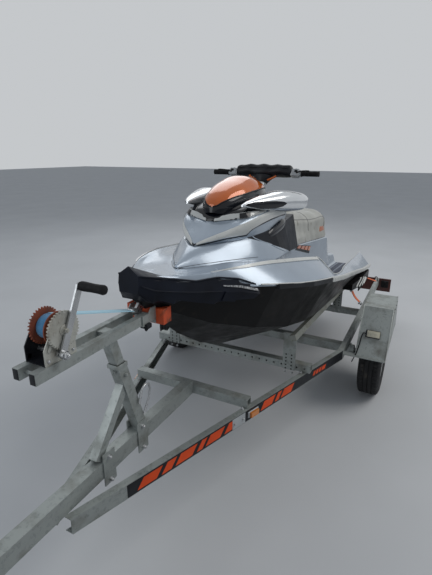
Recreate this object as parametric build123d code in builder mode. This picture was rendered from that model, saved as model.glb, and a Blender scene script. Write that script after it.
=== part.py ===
"""Personal watercraft strapped to its galvanised road trailer, in millimetres.

+X points forward, +Y to port and +Z up. The ground is Z = 0, and the origin lies on the ground
under the middle of the whole length. Trailer sizes along X are counted from the wheel axle. Craft
sizes are counted in the craft's own frame, which starts on the keel above the axle and is tipped
bow-up on the bunks.
"""
from build123d import *
import os
from math import acos, atan2, cos, degrees, hypot, pi, radians, sin, tan

os.makedirs("parts", exist_ok=True)

# Trailer frame
frame_top = 445
rail_height = 70
rail_flange = 35
rail_wall = 4
rail_outer_y = 680
rail_bend_x = 340
rail_front_x = 2235
rail_front_y = 60
beam_size = 50
beam_wall = 4
front_beam_x = 1260
middle_beam_x = 745
rear_beam_x = -700
beam_hole_radius = 6
beam_hole_pitch = 50
front_beam_half = 362
middle_beam_half = 560
rear_beam_half = 664

# Drawbar and coupling
drawbar_width = 55
drawbar_height = 78
drawbar_wall = 4
drawbar_front_x = 3110
coupling_length = 200
coupling_radius = 38
ball_radius = 25
ball_seat_depth = 34
coupling_reach = 110
coupling_plate = 8
coupling_low_z = 462
handle_width = 24

# Wheels, axle and fenders
wheel_y = 850
tyre_radius = 280
tyre_width = 155
tyre_side_height = 50
tyre_corner_height = 22
tyre_corner_in = 6
tread_inset = 30
rim_radius = 168
rim_width = 130
rim_wall = 6
hub_radius = 50
hub_bore_radius = 22
stub_gap = 0.05
axle_tube = 60
axle_x = 75
arm_inner_y = 690
arm_thickness = 24
arm_width = 62
stub_reach = 15
disc_out = 22
hub_outer = 34
hub_inner = -58
disc_holes = 8
disc_hole_circle = 105
disc_hole_radius = 16
bracket_width = 50
bracket_thickness = 6
fender_inner_y = 753
fender_outer_y = 951
fender_top = 712
fender_bottom = 410
fender_flat_front = 112
fender_flat_rear = -200
fender_foot_front = 305
fender_foot_rear = -390
fender_wall = 4

# Winch post
post_size = 52
post_inner_size = 44
post_foot_x = 1740
post_head_x = 1897
post_joint_z = 905
brace_size = 40
brace_foot_x = 2030
brace_foot_lift = 12
brace_head_z = 800
winch_beam_top = 1080
winch_beam_height = 42
winch_beam_width = 28
winch_beam_gap = 50
winch_beam_rear_x = 1700
winch_beam_front_x = 2290
beam_bolt_inset = 30
stop_half = 100
stop_rear_x = 1585
stop_front_x = 1645
stop_low_z = 1015
stop_high_z = 1088
ear_wall = 6
ear_end_top = 1100
ear_end_bottom = 1040
ear_slope_rear_x = 1675
ear_slope_front_x = 1695
ear_run = 40
stop_plate_low_z = 1020
stop_plate_high_z = 1060
bolt_radius = 8
clamp_plate_length = 70
clamp_foot_x = 1755
clamp_brace_x = 1985
clamp_low_z = 405
clamp_high_z = 560
clamp_wall = 6
clamp_bolt_radius = 6

# Winch
drum_x = 2160
drum_z = 1186
gear_radius = 66
gear_teeth = 36
tooth_depth = 5
tooth_gap = 5
pinion_radius = 13
mesh_gap = 2
mesh_angle = -72
gear_inner_y = 52
gear_width = 8
drum_core_radius = 20
drum_shaft_radius = 10
strap_roll_radius = 42
drum_half = 29
flange_thickness = 5
flange_radius = 60
plate_inner_y = 43
winch_plate = 4
winch_rear_x = 2105
winch_front_x = 2240
winch_top = 1214
winch_top_half = 30
winch_front_drop = 50
winch_rear_drop = 40
shaft_gap = 0.05
crank_shaft_radius = 8
crank_inner_y = 66
crank_angle = 116
crank_length = 235
crank_width = 26
crank_thickness = 7
crank_end = 8
crank_nut_wall = 8
crank_nut_height = 12
grip_length = 105
grip_radius = 14
strap_width = 46
strap_thickness = 3

# Towing eyes
eye_thickness = 12
eye_radius = 22
eye_hole_radius = 9
bow_eye_x = 1720
bow_eye_z = 492.5
bow_eye_reach = 28
stem_angle = 37.8
stern_eye_y = 300
stern_eye_z = 200
stern_eye_reach = 28
shackle_wall = 5
shackle_inner = 7
shackle_length = 46
stern_strap_x = -1470
tie_width = 32
tie_thickness = 2.5

# Jockey wheel
jockey_x = 2700
jockey_y = -72
jockey_tube_radius = 24
jockey_tube_wall = 2.5
jockey_tube_top = 850
jockey_tube_bottom = 340
jockey_leg_gap = 0.05
jockey_leg_length = 420
jockey_wheel_radius = 100
jockey_wheel_width = 50
jockey_trail = 38
jockey_pin_radius = 8
jockey_crown_z = 206
jockey_crown = 10
jockey_spigot_radius = 12
jockey_spigot_length = 20
jockey_fork_wall = 6
jockey_fork_gap = 6
clamp_height = 70
clamp_bottom = 450
clamp_length = 74
clamp_lip = 34
jockey_handle = 110
jockey_handle_width = 24
jockey_handle_wall = 8
jockey_knob_radius = 11
jockey_knob_height = 70
jockey_pin_height = 30
jockey_wheel_edge = 12

# Light board
light_board_x = -1600
light_board_half = 800
light_board_bottom = 305
light_board_height = 140
light_board_thickness = 14
lamp_width = 170
lamp_height = 90
lamp_depth = 42
lamp_inset = 10
marker_x = 1250
marker_length = 62
marker_height = 30
marker_depth = 18
fender_lamp_x = 218
fender_lamp_y = 850
fender_lamp_length = 84
fender_lamp_height = 44

# Craft pose on the bunks
craft_tilt = 4.5
keel_height = 481
bunk_y = 455
bunk_size = 36
bunk_rear = -1120
bunk_front = 860
bunk_post_y = 425
bunk_post_width = 80
bunk_post_inset = 12
bunk_post_thickness = 6
seat_gap = 0.3
seat_depth = 4

# Craft body
stern_x = -1360
liner_y = 430
liner_z = 215
gunwale_lip = 25
lip_share = 0.2
liner_side_gap = 90
liner_least_depth = 20
liner_bow_half = 160
liner_bow_share = 0.45
liner_rise_x = 460
liner_rise_share = 1.6
bow_end_x = 1740
bumper_rear_x = 1255
bumper_nose_x = 1800
strip_height = 26
strip_out = 16
strip_seat = 6
bumper_low_share = 0.9
bumper_high_share = 0.94

# Storage bin below the front hood, and the pump tunnel in the stern
bin_rear_x = 600
bin_front_x = 960
bin_half = 150
bin_floor_z = 520
bin_top_z = 815
tunnel_front_x = -640
tunnel_half = 130
tunnel_top_z = 256
tunnel_drop = 100
cut_reach = 10
bottom_slope = 0.363
plate_thickness = 12

# Front hood. Its lower edge lies in one plane that rises to the rear.
hood_front_x = 1262
hood_front_z = 700
hood_rise = 0.13
hood_gap = 0.3
intake_rise = 0.26
intake_foot_x = 520
intake_foot_z = 610
cowl_root_z = 560
hood_root_depth = 30

# Seat
seat_front_x = 238
seat_rise = 0.03125
seat_base_x = 300
seat_base_z = 600
seat_root_z = 540

# Steering
bar_x = 303
bar_z = 1108
bar_tilt = 24
bar_half_span = 390
bar_radius = 12
bar_grip_radius = 17
bar_grip_length = 120
column_radius = 30
column_length = 295
column_gap = 0.05
boss_radius = 46
boss_top = 170
boss_bottom = 360
pad_half = 205
pad_depth = 96
pad_low = -30
pad_high = 60
perch_width = 52
perch_size = 44
perch_lap = 4
pad_corner = 30
pad_edge = 18

# Jet pump
pump_z = 152
pump_radius = 92
pump_bore_radius = 78
pump_front_x = -1010
pump_rear_x = -1300
pump_flange = 15
impeller_clearance = 5
impeller_hub_radius = 28
impeller_length = 90
impeller_x = -1120
impeller_shaft_radius = 12
blade_count = 4
blade_thickness = 6
blade_pitch_angle = 50
stator_x = -1235
stator_length = 60
pivot_x = -1330
nozzle_radius = 60
nozzle_tip_radius = 52
nozzle_bore_radius = 44
nozzle_tip_x = -1450
nozzle_front_gap = 12
pin_radius = 8
pin_gap = 0.05
ear_thickness = 8
ear_width = 40
ear_inset = 2
bucket_radius = 150
plate_low_z = 38
plate_rear_x = -1360
plate_front_x = -1000
grate_slots = 6
grate_pitch = 38
grate_slot_width = 26
bucket_wall = 6
bucket_inner_y = 104
bucket_low_angle = 20
bucket_high_angle = 70
wedge_reach = 1.4

# Engine
engine_length = 760
engine_width = 380
engine_height = 400
engine_x = 60
engine_z = 90
engine_gap = 1


# Frames. The whole length runs from the light board to the coupling's nose.
rear_tip_x = light_board_x - light_board_thickness / 2 - lamp_depth
front_tip_x = drawbar_front_x + coupling_reach
origin_x = -(rear_tip_x + front_tip_x) / 2
forward = Vector(cos(radians(craft_tilt)), 0, sin(radians(craft_tilt)))
upward = Vector(-sin(radians(craft_tilt)), 0, cos(radians(craft_tilt)))
port = Vector(0, 1, 0)


def place(x, y=0, z=0):
    """Point in the trailer's frame."""
    return Vector(origin_x + x, y, z)


def station(x):
    """Upright plane across the trailer, its own x to port and y up."""
    return Plane(origin=place(x), x_dir=(0, 1, 0), z_dir=(1, 0, 0))


def side(y=0):
    """Upright plane along the trailer, its own x forward and y up; it faces starboard."""
    return Plane(origin=place(0, y), x_dir=(1, 0, 0), z_dir=(0, -1, 0))


def level(z=0):
    """Level plane, its own x forward and y to port."""
    return Plane(origin=place(0, 0, z), x_dir=(1, 0, 0), z_dir=(0, 0, 1))


def craft_place(x, y=0, z=0):
    """Point in the craft's frame."""
    return place(0, 0, keel_height) + forward * x + port * y + upward * z


def craft_station(x):
    return Plane(origin=craft_place(x), x_dir=port, z_dir=forward)


def craft_side(y=0):
    return Plane(origin=craft_place(0, y), x_dir=forward, z_dir=port * -1)


def craft_level(z=0):
    return Plane(origin=craft_place(0, 0, z), x_dir=forward, z_dir=upward)


def save(part, name):
    """Labels a finished piece and writes it."""
    part.label = name
    export_step(part, "parts/" + name + ".step")


def along(start, end, facing=(0, 1, 0)):
    """Plane at the start that looks towards the end; returns it with the distance."""
    run = end - start
    return Plane(origin=start, x_dir=facing, z_dir=run), run.length


def half_to_full(points):
    """Adds the mirror image of a half section that starts and ends on the centre line."""
    return points + [(-y, z) for y, z in reversed(points) if y > 0]


# Craft body sections, half of each, in the craft's frame.
# Columns: x, keel z, chine y, chine z, side y, side z.
hull_table = [
    (stern_x, 0, 490, 178, 585, 262),
    (-1060, 0, 493, 179, 598, 292),
    (-980, 0, 494, 180, 601, 300),
    (-700, 0, 495, 180, 612, 330),
    (-200, 0, 492, 180, 616, 390),
    (300, 0, 482, 182, 612, 440),
    (440, 0, 478, 187, 607, 458),
    (500, 0, 475, 190, 605, 465),
    (640, 2, 466, 198, 600, 484),
    (900, 30, 436, 232, 550, 503),
    (1160, 125, 335, 282, 438, 525),
    (1400, 255, 195, 350, 275, 545),
    (1500, 325, 150, 395, 215, 555),
    (1600, 395, 102, 440, 155, 566),
    (bow_end_x, 505, 38, 520, 65, 586),
]
# Columns: x, ridge y, ridge z, floor outer y, floor inner y, floor z, pedestal y, pedestal z.
deck_table = [
    (stern_x, 470, 394, 440, 232, 250, 205, 345),
    (-1060, 480, 395, 440, 235, 250, 205, 375),
    (-980, 484, 396, 440, 235, 250, 205, 560),
    (-700, 495, 402, 440, 235, 250, 205, 568.75),
    (-200, 530, 428, 440, 240, 250, 210, 584.375),
    (300, 580, 462, 440, 255, 262, 225, 600),
    (440, 572, 486, 438, 260, 290, 233, 604),
    (500, 486, 586, 425, 268, 350, 240, 606),
    (640, 455, 608, 410, 300, 520, 262, 610),
    (900, 385, 625, 350, 305, 612, 280, 618),
    (1160, 325, 638, 290, 230, 622, 190, 626),
    (1400, 250, 632, 215, 120, 602, 80, 608),
    (1500, 200, 625, 165, 100, 601, 60, 607),
    (1600, 140, 622, 112, 70, 612, 45, 614),
    (bow_end_x, 45, 632, 36, 24, 630, 14, 640),
]


def tray_points(row):
    """Half outline of the liner that the deck sits in: centre, bottom corner, rim, bond line."""
    x, keel_z, chine_y, chine_z, side_y, side_z = row
    front = max(0, x - liner_rise_x) / (bow_end_x - liner_rise_x)
    narrow = side_y <= liner_bow_half
    bottom_y = side_y * liner_bow_share if narrow else min(liner_y, side_y - liner_side_gap)
    bottom_z = liner_z + front * (side_z - liner_z) * liner_rise_share
    bottom_z = min(bottom_z, side_z - liner_least_depth)
    lip = min(gunwale_lip, side_y * lip_share)
    return [(0, bottom_z), (bottom_y, bottom_z), (side_y - lip, side_z), (side_y, side_z)]


def hull_section(row):
    x, keel_z, chine_y, chine_z, side_y, side_z = row
    centre, corner, rim, bond = tray_points(row)
    return half_to_full([centre, corner, rim, bond, (chine_y, chine_z), (0, keel_z)])


def deck_section(hull_row, deck_row):
    x, ridge_y, ridge_z, outer_y, inner_y, floor_z, pedestal_y, pedestal_z = deck_row
    centre, corner, rim, bond = tray_points(hull_row)
    top = [(ridge_y, ridge_z), (outer_y, floor_z), (inner_y, floor_z), (pedestal_y, pedestal_z)]
    return half_to_full([centre, corner, rim, bond] + top + [(0, pedestal_z)])


with BuildPart() as engine_pocket:
    with BuildSketch(craft_level(engine_z - engine_gap)):
        with Locations((engine_x, 0)):
            Rectangle(engine_length + 2 * engine_gap, engine_width + 2 * engine_gap)
    extrude(amount=engine_height + 2 * engine_gap)

with BuildPart() as bin_pocket:
    with BuildSketch(craft_level(bin_floor_z)):
        with Locations(((bin_rear_x + bin_front_x) / 2, 0)):
            Rectangle(bin_front_x - bin_rear_x, 2 * bin_half)
    extrude(amount=bin_top_z - bin_floor_z)

with BuildPart() as tunnel_pocket:
    with BuildSketch(craft_station(stern_x - cut_reach)):
        with Locations((0, (tunnel_top_z - tunnel_drop) / 2)):
            Rectangle(2 * tunnel_half, tunnel_top_z + tunnel_drop)
    extrude(amount=tunnel_front_x - stern_x + cut_reach)

with BuildPart() as hull:
    for row in hull_table:
        with BuildSketch(craft_station(row[0])):
            Polygon(*hull_section(row), align=None)
    loft(ruled=True)
    add(engine_pocket.part, mode=Mode.SUBTRACT)
    add(tunnel_pocket.part, mode=Mode.SUBTRACT)
save(hull.part, "hull")

with BuildPart() as deck:
    for hull_row, deck_row in zip(hull_table, deck_table):
        with BuildSketch(craft_station(deck_row[0])):
            Polygon(*deck_section(hull_row, deck_row), align=None)
    loft(ruled=True)
    add(engine_pocket.part, mode=Mode.SUBTRACT)
    add(bin_pocket.part, mode=Mode.SUBTRACT)
    add(tunnel_pocket.part, mode=Mode.SUBTRACT)
save(deck.part, "deck")

with BuildPart() as engine:
    with BuildSketch(craft_level(engine_z)):
        with Locations((engine_x, 0)):
            Rectangle(engine_length, engine_width)
    extrude(amount=engine_height)
save(engine.part, "engine_block")


def craft_body(sections):
    """Ruled body through half sections given as (x, points)."""
    with BuildPart() as body:
        for x, points in sections:
            with BuildSketch(craft_station(x)):
                Polygon(*half_to_full(points), align=None)
        loft(ruled=True)
    return body.part


def side_body(rows, port_side=True):
    """Ruled bar on one side through rows of x, inner y, outer y, low z, high z."""
    way = 1 if port_side else -1
    with BuildPart() as body:
        for x, inner_y, outer_y, low_z, high_z in rows:
            with BuildSketch(craft_station(x)):
                with Locations((way * (inner_y + outer_y) / 2, (low_z + high_z) / 2)):
                    Rectangle(outer_y - inner_y, high_z - low_z)
        loft(ruled=True)
    return body.part


# Bow bumper. Columns: x, outer y, low z, high z, crest z.
bumper_table = [
    (bumper_rear_x, 386, 465, 545, 545),
    (1350, 324, 463, 582, 582),
    (1450, 258, 466, 598, 598),
    (1550, 200, 490, 591, 591),
    (1650, 144, 498, 612, 625),
    (bow_end_x, 92, 515, 628, 656),
    (bumper_nose_x, 54, 562, 640, 677),
]
with BuildPart() as bow_bumper:
    add(craft_body([
        (x, [(0, low_z), (outer_y * bumper_low_share, low_z), (outer_y, (low_z + high_z) / 2),
             (outer_y * bumper_high_share, high_z), (0, crest_z)])
        for x, outer_y, low_z, high_z, crest_z in bumper_table
    ]))
    add(hull.part, mode=Mode.SUBTRACT)
    add(deck.part, mode=Mode.SUBTRACT)
save(bow_bumper.part, "bow_bumper")

# Gunwale strips along the bond line, aft of the bumper
strip_rows = [
    (row[0], row[4] - strip_seat, row[4] + strip_out, row[5] - strip_height / 2, row[5] + strip_height / 2)
    for row in hull_table
    if row[0] < bumper_rear_x
]
with BuildPart() as gunwale_strips:
    for port_side in (True, False):
        add(side_body(strip_rows, port_side))
    add(hull.part, mode=Mode.SUBTRACT)
    add(deck.part, mode=Mode.SUBTRACT)
save(gunwale_strips.part, "gunwale_strips")

hood_normal = upward + forward * hood_rise
hood_seat = Plane(origin=craft_place(hood_front_x, 0, hood_front_z), x_dir=port, z_dir=hood_normal)
hood_base = Plane(origin=hood_seat.origin + hood_seat.z_dir * hood_gap, x_dir=port, z_dir=hood_normal)
intake_plane = Plane(
    origin=craft_place(intake_foot_x, 0, intake_foot_z), x_dir=port, z_dir=upward - forward * intake_rise
)

# Body between the deck and the front hood. Columns: x, low y, low z, shoulder y, shoulder z, top z.
lower_table = [
    (1430, 16, 585, 8, 620, 624),
    (1262, 161, 590, 62, 692, 702),
    (1100, 237, 595, 165, 728, 748),
    (950, 289, 595, 205, 752, 775),
    (700, 312, 604, 232, 785, 805),
    (520, 300, 615, 240, 805, 825),
    (240, 270, 600, 215, 838, 855),
]
lower_body = craft_body([
    (x, [(0, cowl_root_z), (low_y, low_z), (shoulder_y, shoulder_z), (0, top_z)])
    for x, low_y, low_z, shoulder_y, shoulder_z, top_z in lower_table
])
with BuildPart() as cowl:
    add(lower_body)
    split(bisect_by=hood_seat, keep=Keep.BOTTOM)
    split(bisect_by=intake_plane, keep=Keep.BOTTOM)
    add(deck.part, mode=Mode.SUBTRACT)
    add(bin_pocket.part, mode=Mode.SUBTRACT)
save(cowl.part, "cowl")

# Steering axis, through the middle of the bar
steer_up = upward * cos(radians(bar_tilt)) - forward * sin(radians(bar_tilt))
bar_centre = craft_place(bar_x, 0, bar_z)
steer = Plane(origin=bar_centre, x_dir=port, z_dir=steer_up)

with BuildPart() as console:
    add(lower_body)
    split(bisect_by=hood_seat, keep=Keep.BOTTOM)
    split(bisect_by=intake_plane, keep=Keep.TOP)
    add(deck.part, mode=Mode.SUBTRACT)
    with BuildSketch(steer.offset(-boss_bottom)):
        Circle(boss_radius)
    extrude(amount=boss_bottom - boss_top)
    with BuildSketch(steer.offset(-column_length - 2)):
        Circle(column_radius + column_gap)
    extrude(amount=column_length, mode=Mode.SUBTRACT)
    add(bin_pocket.part, mode=Mode.SUBTRACT)
save(console.part, "console")

# Front hood. Columns: x, low y, low z, wide y, wide z, edge y, edge z, top z.
hood_table = [
    (hood_front_x, 8, 690, 8, 704, 6, 707, 710),
    (1160, 85, 700, 125, 746, 115, 768, 772),
    (1060, 160, 715, 195, 800, 180, 828, 832),
    (930, 205, 730, 240, 850, 215, 868, 880),
    (700, 230, 750, 262, 880, 225, 905, 925),
    (500, 230, 780, 250, 885, 215, 915, 935),
]
with BuildPart() as front_hood:
    add(craft_body([
        (x, [(0, low_z), (low_y, low_z), (wide_y, wide_z), (edge_y, edge_z), (0, top_z)])
        for x, low_y, low_z, wide_y, wide_z, edge_y, edge_z, top_z in hood_table
    ]))
    split(bisect_by=hood_base, keep=Keep.TOP)
    add(bin_pocket.part, mode=Mode.SUBTRACT)
save(front_hood.part, "front_hood")

# Gloss black surround of the dome. Columns: x, wide y, low z, edge y, edge z, top z.
surround_table = [
    (1085, 30, 816, 24, 830, 834),
    (1010, 200, 833, 170, 880, 895),
    (900, 222, 856, 190, 915, 935),
    (700, 205, 885, 160, 945, 965),
    (500, 150, 905, 110, 965, 985),
]
with BuildPart() as dome_surround:
    add(craft_body([
        (x, [(0, low_z - hood_root_depth), (wide_y, low_z), (edge_y, edge_z), (0, top_z)])
        for x, wide_y, low_z, edge_y, edge_z, top_z in surround_table
    ]))
    add(front_hood.part, mode=Mode.SUBTRACT)
    add(bin_pocket.part, mode=Mode.SUBTRACT)
save(dome_surround.part, "dome_surround")

# Orange dome. Columns: x, wide y, low z, mid y, mid z, top z.
dome_table = [
    (1070, 30, 880, 22, 902, 912),
    (980, 98, 893, 80, 950, 975),
    (840, 132, 912, 105, 1004, 1036),
    (710, 138, 930, 105, 1036, 1073),
    (570, 122, 942, 92, 1030, 1060),
    (500, 76, 955, 55, 1006, 1026),
]
with BuildPart() as hood_dome:
    add(craft_body([
        (x, [(0, low_z - hood_root_depth), (wide_y, low_z), (mid_y, mid_z), (0, top_z)])
        for x, wide_y, low_z, mid_y, mid_z, top_z in dome_table
    ]))
    add(dome_surround.part, mode=Mode.SUBTRACT)
    add(front_hood.part, mode=Mode.SUBTRACT)
save(hood_dome.part, "hood_dome")

# Mirror wings beside the dome. Columns: x, inner y, outer y, low z, high z.
mirror_rows = [
    (1050, 165, 186, 903, 922),
    (820, 160, 290, 878, 975),
    (640, 165, 350, 868, 998),
    (510, 205, 378, 872, 990),
    (450, 262, 374, 900, 968),
]
with BuildPart() as mirrors:
    for port_side in (True, False):
        add(side_body(mirror_rows, port_side))
    add(front_hood.part, mode=Mode.SUBTRACT)
    add(dome_surround.part, mode=Mode.SUBTRACT)
    add(hood_dome.part, mode=Mode.SUBTRACT)
save(mirrors.part, "mirrors")

# Seat. Columns: x, base y, shoulder y, shoulder z, crown y, crown z.
seat_table = [
    (-1000, 185, 165, 690, 90, 705),
    (-940, 195, 178, 745, 110, 775),
    (-780, 200, 185, 785, 115, 822),
    (-450, 200, 178, 775, 110, 812),
    (-100, 205, 172, 790, 105, 838),
    (seat_front_x, 210, 165, 800, 95, 846),
]
seat_plane = Plane(
    origin=craft_place(seat_base_x, 0, seat_base_z + seat_gap), x_dir=port, z_dir=upward - forward * seat_rise
)
with BuildPart() as seat:
    add(craft_body([
        (x, [(0, seat_root_z), (base_y, seat_root_z), (shoulder_y, shoulder_z), (crown_y, crown_z),
             (0, crown_z)])
        for x, base_y, shoulder_y, shoulder_z, crown_y, crown_z in seat_table
    ]))
    split(bisect_by=seat_plane, keep=Keep.TOP)
save(seat.part, "seat")

# Footwell mats
mat_rear_x = -1340
mat_front_x = -210
mat_inner_y = 255
mat_outer_y = 425
mat_z = 250
mat_thickness = 6
with BuildPart() as footwell_mats:
    with BuildSketch(craft_level(mat_z)):
        with Locations(
            ((mat_rear_x + mat_front_x) / 2, (mat_inner_y + mat_outer_y) / 2),
            ((mat_rear_x + mat_front_x) / 2, -(mat_inner_y + mat_outer_y) / 2),
        ):
            Rectangle(mat_front_x - mat_rear_x, mat_outer_y - mat_inner_y)
    extrude(amount=mat_thickness)
save(footwell_mats.part, "footwell_mats")

# Sponsons on the chines, with a slotted vane under each
sponson_rows = [
    (-1290, 480, 578, 184, 226),
    (-1100, 480, 618, 181, 262),
    (-700, 480, 618, 182, 262),
    (-420, 480, 580, 186, 236),
]
vane_front_x = -1010
vane_rear_x = -1290
vane_y = 552
vane_thickness = 8
vane_low_z = 52
vane_high_z = 190
slot_count = 6
slot_pitch = 38
slot_width = 18
slot_height = 78
slot_low = 20
with BuildPart() as sponsons:
    for port_side in (True, False):
        add(side_body(sponson_rows, port_side))
        with BuildSketch(craft_side(vane_y if port_side else -vane_y)):
            with Locations(((vane_front_x + vane_rear_x) / 2, (vane_low_z + vane_high_z) / 2)):
                Rectangle(vane_front_x - vane_rear_x, vane_high_z - vane_low_z)
            with Locations(((vane_front_x + vane_rear_x) / 2, vane_low_z + slot_low + slot_height / 2)):
                with GridLocations(slot_pitch, 0, slot_count, 1):
                    Rectangle(slot_width, slot_height, mode=Mode.SUBTRACT)
        extrude(amount=vane_thickness / 2, both=True)
    add(hull.part, mode=Mode.SUBTRACT)
    add(deck.part, mode=Mode.SUBTRACT)
save(sponsons.part, "sponsons")

# Handlebar, with the switch perches beside the grips
with BuildPart() as handlebar:
    with BuildSketch(Plane(origin=bar_centre, x_dir=forward, z_dir=port)):
        Circle(bar_radius)
    extrude(amount=bar_half_span - bar_grip_length, both=True)
    with BuildSketch(steer.offset(-column_length)):
        Circle(column_radius)
    extrude(amount=column_length)
    with BuildSketch(steer):
        with Locations(*[(way * (pad_half + perch_width / 2 - perch_lap), 0) for way in (1, -1)]):
            Rectangle(perch_width, perch_size)
    extrude(amount=perch_size / 2, both=True)
save(handlebar.part, "handlebar")

with BuildPart() as handlebar_pad:
    with BuildSketch(steer.offset(pad_low)):
        RectangleRounded(2 * pad_half, pad_depth, pad_corner)
    extrude(amount=pad_high - pad_low)
    fillet(handlebar_pad.faces().sort_by(Axis(bar_centre, steer_up))[-1].edges(), pad_edge)
    add(handlebar.part, mode=Mode.SUBTRACT)
save(handlebar_pad.part, "handlebar_pad")

with BuildPart() as grips:
    for way in (1, -1):
        grip_start = bar_centre + port * way * (bar_half_span - bar_grip_length)
        end_plane = Plane(origin=grip_start, x_dir=forward, z_dir=port * way)
        with BuildSketch(end_plane):
            Circle(bar_grip_radius)
        extrude(amount=bar_grip_length)
save(grips.part, "grips")

# Towing eyes: one on the stem and one each side on the transom
stem_out = forward * sin(radians(stem_angle)) - upward * cos(radians(stem_angle))
bow_eye_centre = craft_place(bow_eye_x, 0, bow_eye_z) + stem_out * bow_eye_reach
eye_places = [(bow_eye_centre, stem_out)]
for way in (1, -1):
    eye_places.append(
        (craft_place(stern_x, way * stern_eye_y, stern_eye_z) - forward * stern_eye_reach, forward * -1)
    )
with BuildPart() as tow_eyes:
    for centre, outward in eye_places:
        with BuildSketch(Plane(origin=centre, x_dir=outward, z_dir=port)):
            Circle(eye_radius)
            with Locations((-eye_radius, 0)):
                Rectangle(2 * eye_radius, 2 * eye_radius)
            Circle(eye_hole_radius, mode=Mode.SUBTRACT)
        extrude(amount=eye_thickness / 2, both=True)
    add(hull.part, mode=Mode.SUBTRACT)
    add(deck.part, mode=Mode.SUBTRACT)
save(tow_eyes.part, "tow_eyes")

# Jet pump in the tunnel
pump_axis = Plane(origin=craft_place(0, 0, pump_z), x_dir=port, z_dir=forward)


def pump_station(x):
    """Plane across the pump, centred on its axis: own x to port, own y up."""
    return pump_axis.offset(x)


plate_high_z = plate_low_z + plate_thickness
with BuildPart() as jet_pump:
    with BuildSketch(craft_station(pump_front_x - pump_flange)):
        with Locations((0, (plate_high_z + tunnel_top_z) / 2)):
            Rectangle(2 * tunnel_half, tunnel_top_z - plate_high_z)
    extrude(amount=pump_flange)
    with BuildSketch(pump_station(pump_rear_x)):
        Circle(pump_radius)
    extrude(amount=pump_front_x - pump_rear_x)
    with BuildSketch(pump_station(pump_rear_x)):
        Circle(pump_bore_radius)
    extrude(amount=pump_front_x - pump_rear_x, mode=Mode.SUBTRACT)
    with BuildSketch(pump_station(stator_x - stator_length / 2)):
        Circle(impeller_hub_radius + ear_inset)
        with PolarLocations(0, 4, start_angle=45):
            Rectangle(2 * (pump_bore_radius + ear_inset), blade_thickness)
        Circle(impeller_shaft_radius + pin_gap, mode=Mode.SUBTRACT)
    extrude(amount=stator_length)
    for way in (1, -1):
        with BuildSketch(craft_level(pump_z + way * pump_bore_radius)):
            with Locations(((pump_rear_x + pivot_x) / 2 - ear_width / 4, 0)):
                Rectangle(pump_rear_x - pivot_x + ear_width / 2, ear_width)
            with Locations((pivot_x, 0)):
                Circle(pin_radius + pin_gap, mode=Mode.SUBTRACT)
        extrude(amount=way * ear_thickness)
        ear_origin = craft_place(0, way * (pump_bore_radius + ear_inset), 0)
        ear_plane = Plane(origin=ear_origin, x_dir=forward, z_dir=port * way)
        with BuildSketch(ear_plane):
            with Locations(((pump_rear_x + pivot_x) / 2 - ear_width / 4, -way * pump_z)):
                Rectangle(pump_rear_x - pivot_x + ear_width / 2, ear_width)
        extrude(amount=ear_thickness)
        with BuildSketch(ear_plane):
            with Locations((pivot_x, -way * pump_z)):
                Circle(pin_radius)
        extrude(amount=bucket_inner_y + bucket_wall - pump_bore_radius)
save(jet_pump.part, "jet_pump")

with BuildPart() as impeller:
    with BuildSketch(pump_station(impeller_x - impeller_length / 2)):
        Circle(impeller_hub_radius)
    extrude(amount=impeller_length)
    for k in range(blade_count):
        turn = radians(360 / blade_count * k)
        out = port * cos(turn) + upward * sin(turn)
        pitch = radians(blade_pitch_angle)
        sweep_dir = forward * cos(pitch) + forward.cross(out) * sin(pitch)
        with BuildSketch(Plane(origin=craft_place(impeller_x, 0, pump_z), x_dir=sweep_dir, z_dir=out)):
            Rectangle(impeller_length, blade_thickness)
        extrude(amount=pump_bore_radius)
    with BuildSketch(pump_station(impeller_x - impeller_length)):
        Circle(pump_bore_radius - impeller_clearance)
    extrude(amount=2 * impeller_length, mode=Mode.INTERSECT)
    with BuildSketch(pump_station(stator_x - stator_length / 2)):
        Circle(impeller_shaft_radius)
    extrude(amount=tunnel_front_x - seat_gap - stator_x + stator_length / 2)
save(impeller.part, "impeller")

nozzle_front_x = pump_rear_x - nozzle_front_gap
with BuildPart() as steering_nozzle:
    with BuildSketch(pump_station(nozzle_front_x)):
        Circle(nozzle_radius)
    with BuildSketch(pump_station(nozzle_tip_x)):
        Circle(nozzle_tip_radius)
    loft()
    with BuildSketch(Plane(origin=craft_place(pivot_x, 0, pump_z), x_dir=forward, z_dir=upward)):
        Circle(pin_radius)
    extrude(amount=pump_bore_radius + ear_thickness, both=True)
    with BuildSketch(pump_station(nozzle_tip_x)):
        Circle(nozzle_bore_radius)
    extrude(amount=nozzle_front_x - nozzle_tip_x, mode=Mode.SUBTRACT)
save(steering_nozzle.part, "steering_nozzle")

bucket_out = bucket_radius + bucket_wall
wedge = [(0, 0)] + [
    (-wedge_reach * bucket_out * cos(radians(a)), wedge_reach * bucket_out * sin(radians(a)))
    for a in (bucket_low_angle, (bucket_low_angle + bucket_high_angle) / 2, bucket_high_angle)
]
bucket_pivot = Plane(origin=craft_place(pivot_x, 0, pump_z), x_dir=forward, z_dir=port * -1)
with BuildPart() as reverse_bucket:
    with BuildSketch(bucket_pivot):
        Circle(bucket_out)
        Circle(bucket_radius, mode=Mode.SUBTRACT)
        Polygon(*wedge, align=None, mode=Mode.INTERSECT)
    extrude(amount=bucket_inner_y + bucket_wall, both=True)
    for way in (1, -1):
        with BuildSketch(bucket_pivot.offset(way * bucket_inner_y)):
            Circle(bucket_out)
            Polygon(*wedge, align=None, mode=Mode.INTERSECT)
            Circle(pin_radius + bucket_wall)
            Circle(pin_radius + pin_gap, mode=Mode.SUBTRACT)
        extrude(amount=way * bucket_wall)
save(reverse_bucket.part, "reverse_bucket")

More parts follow.
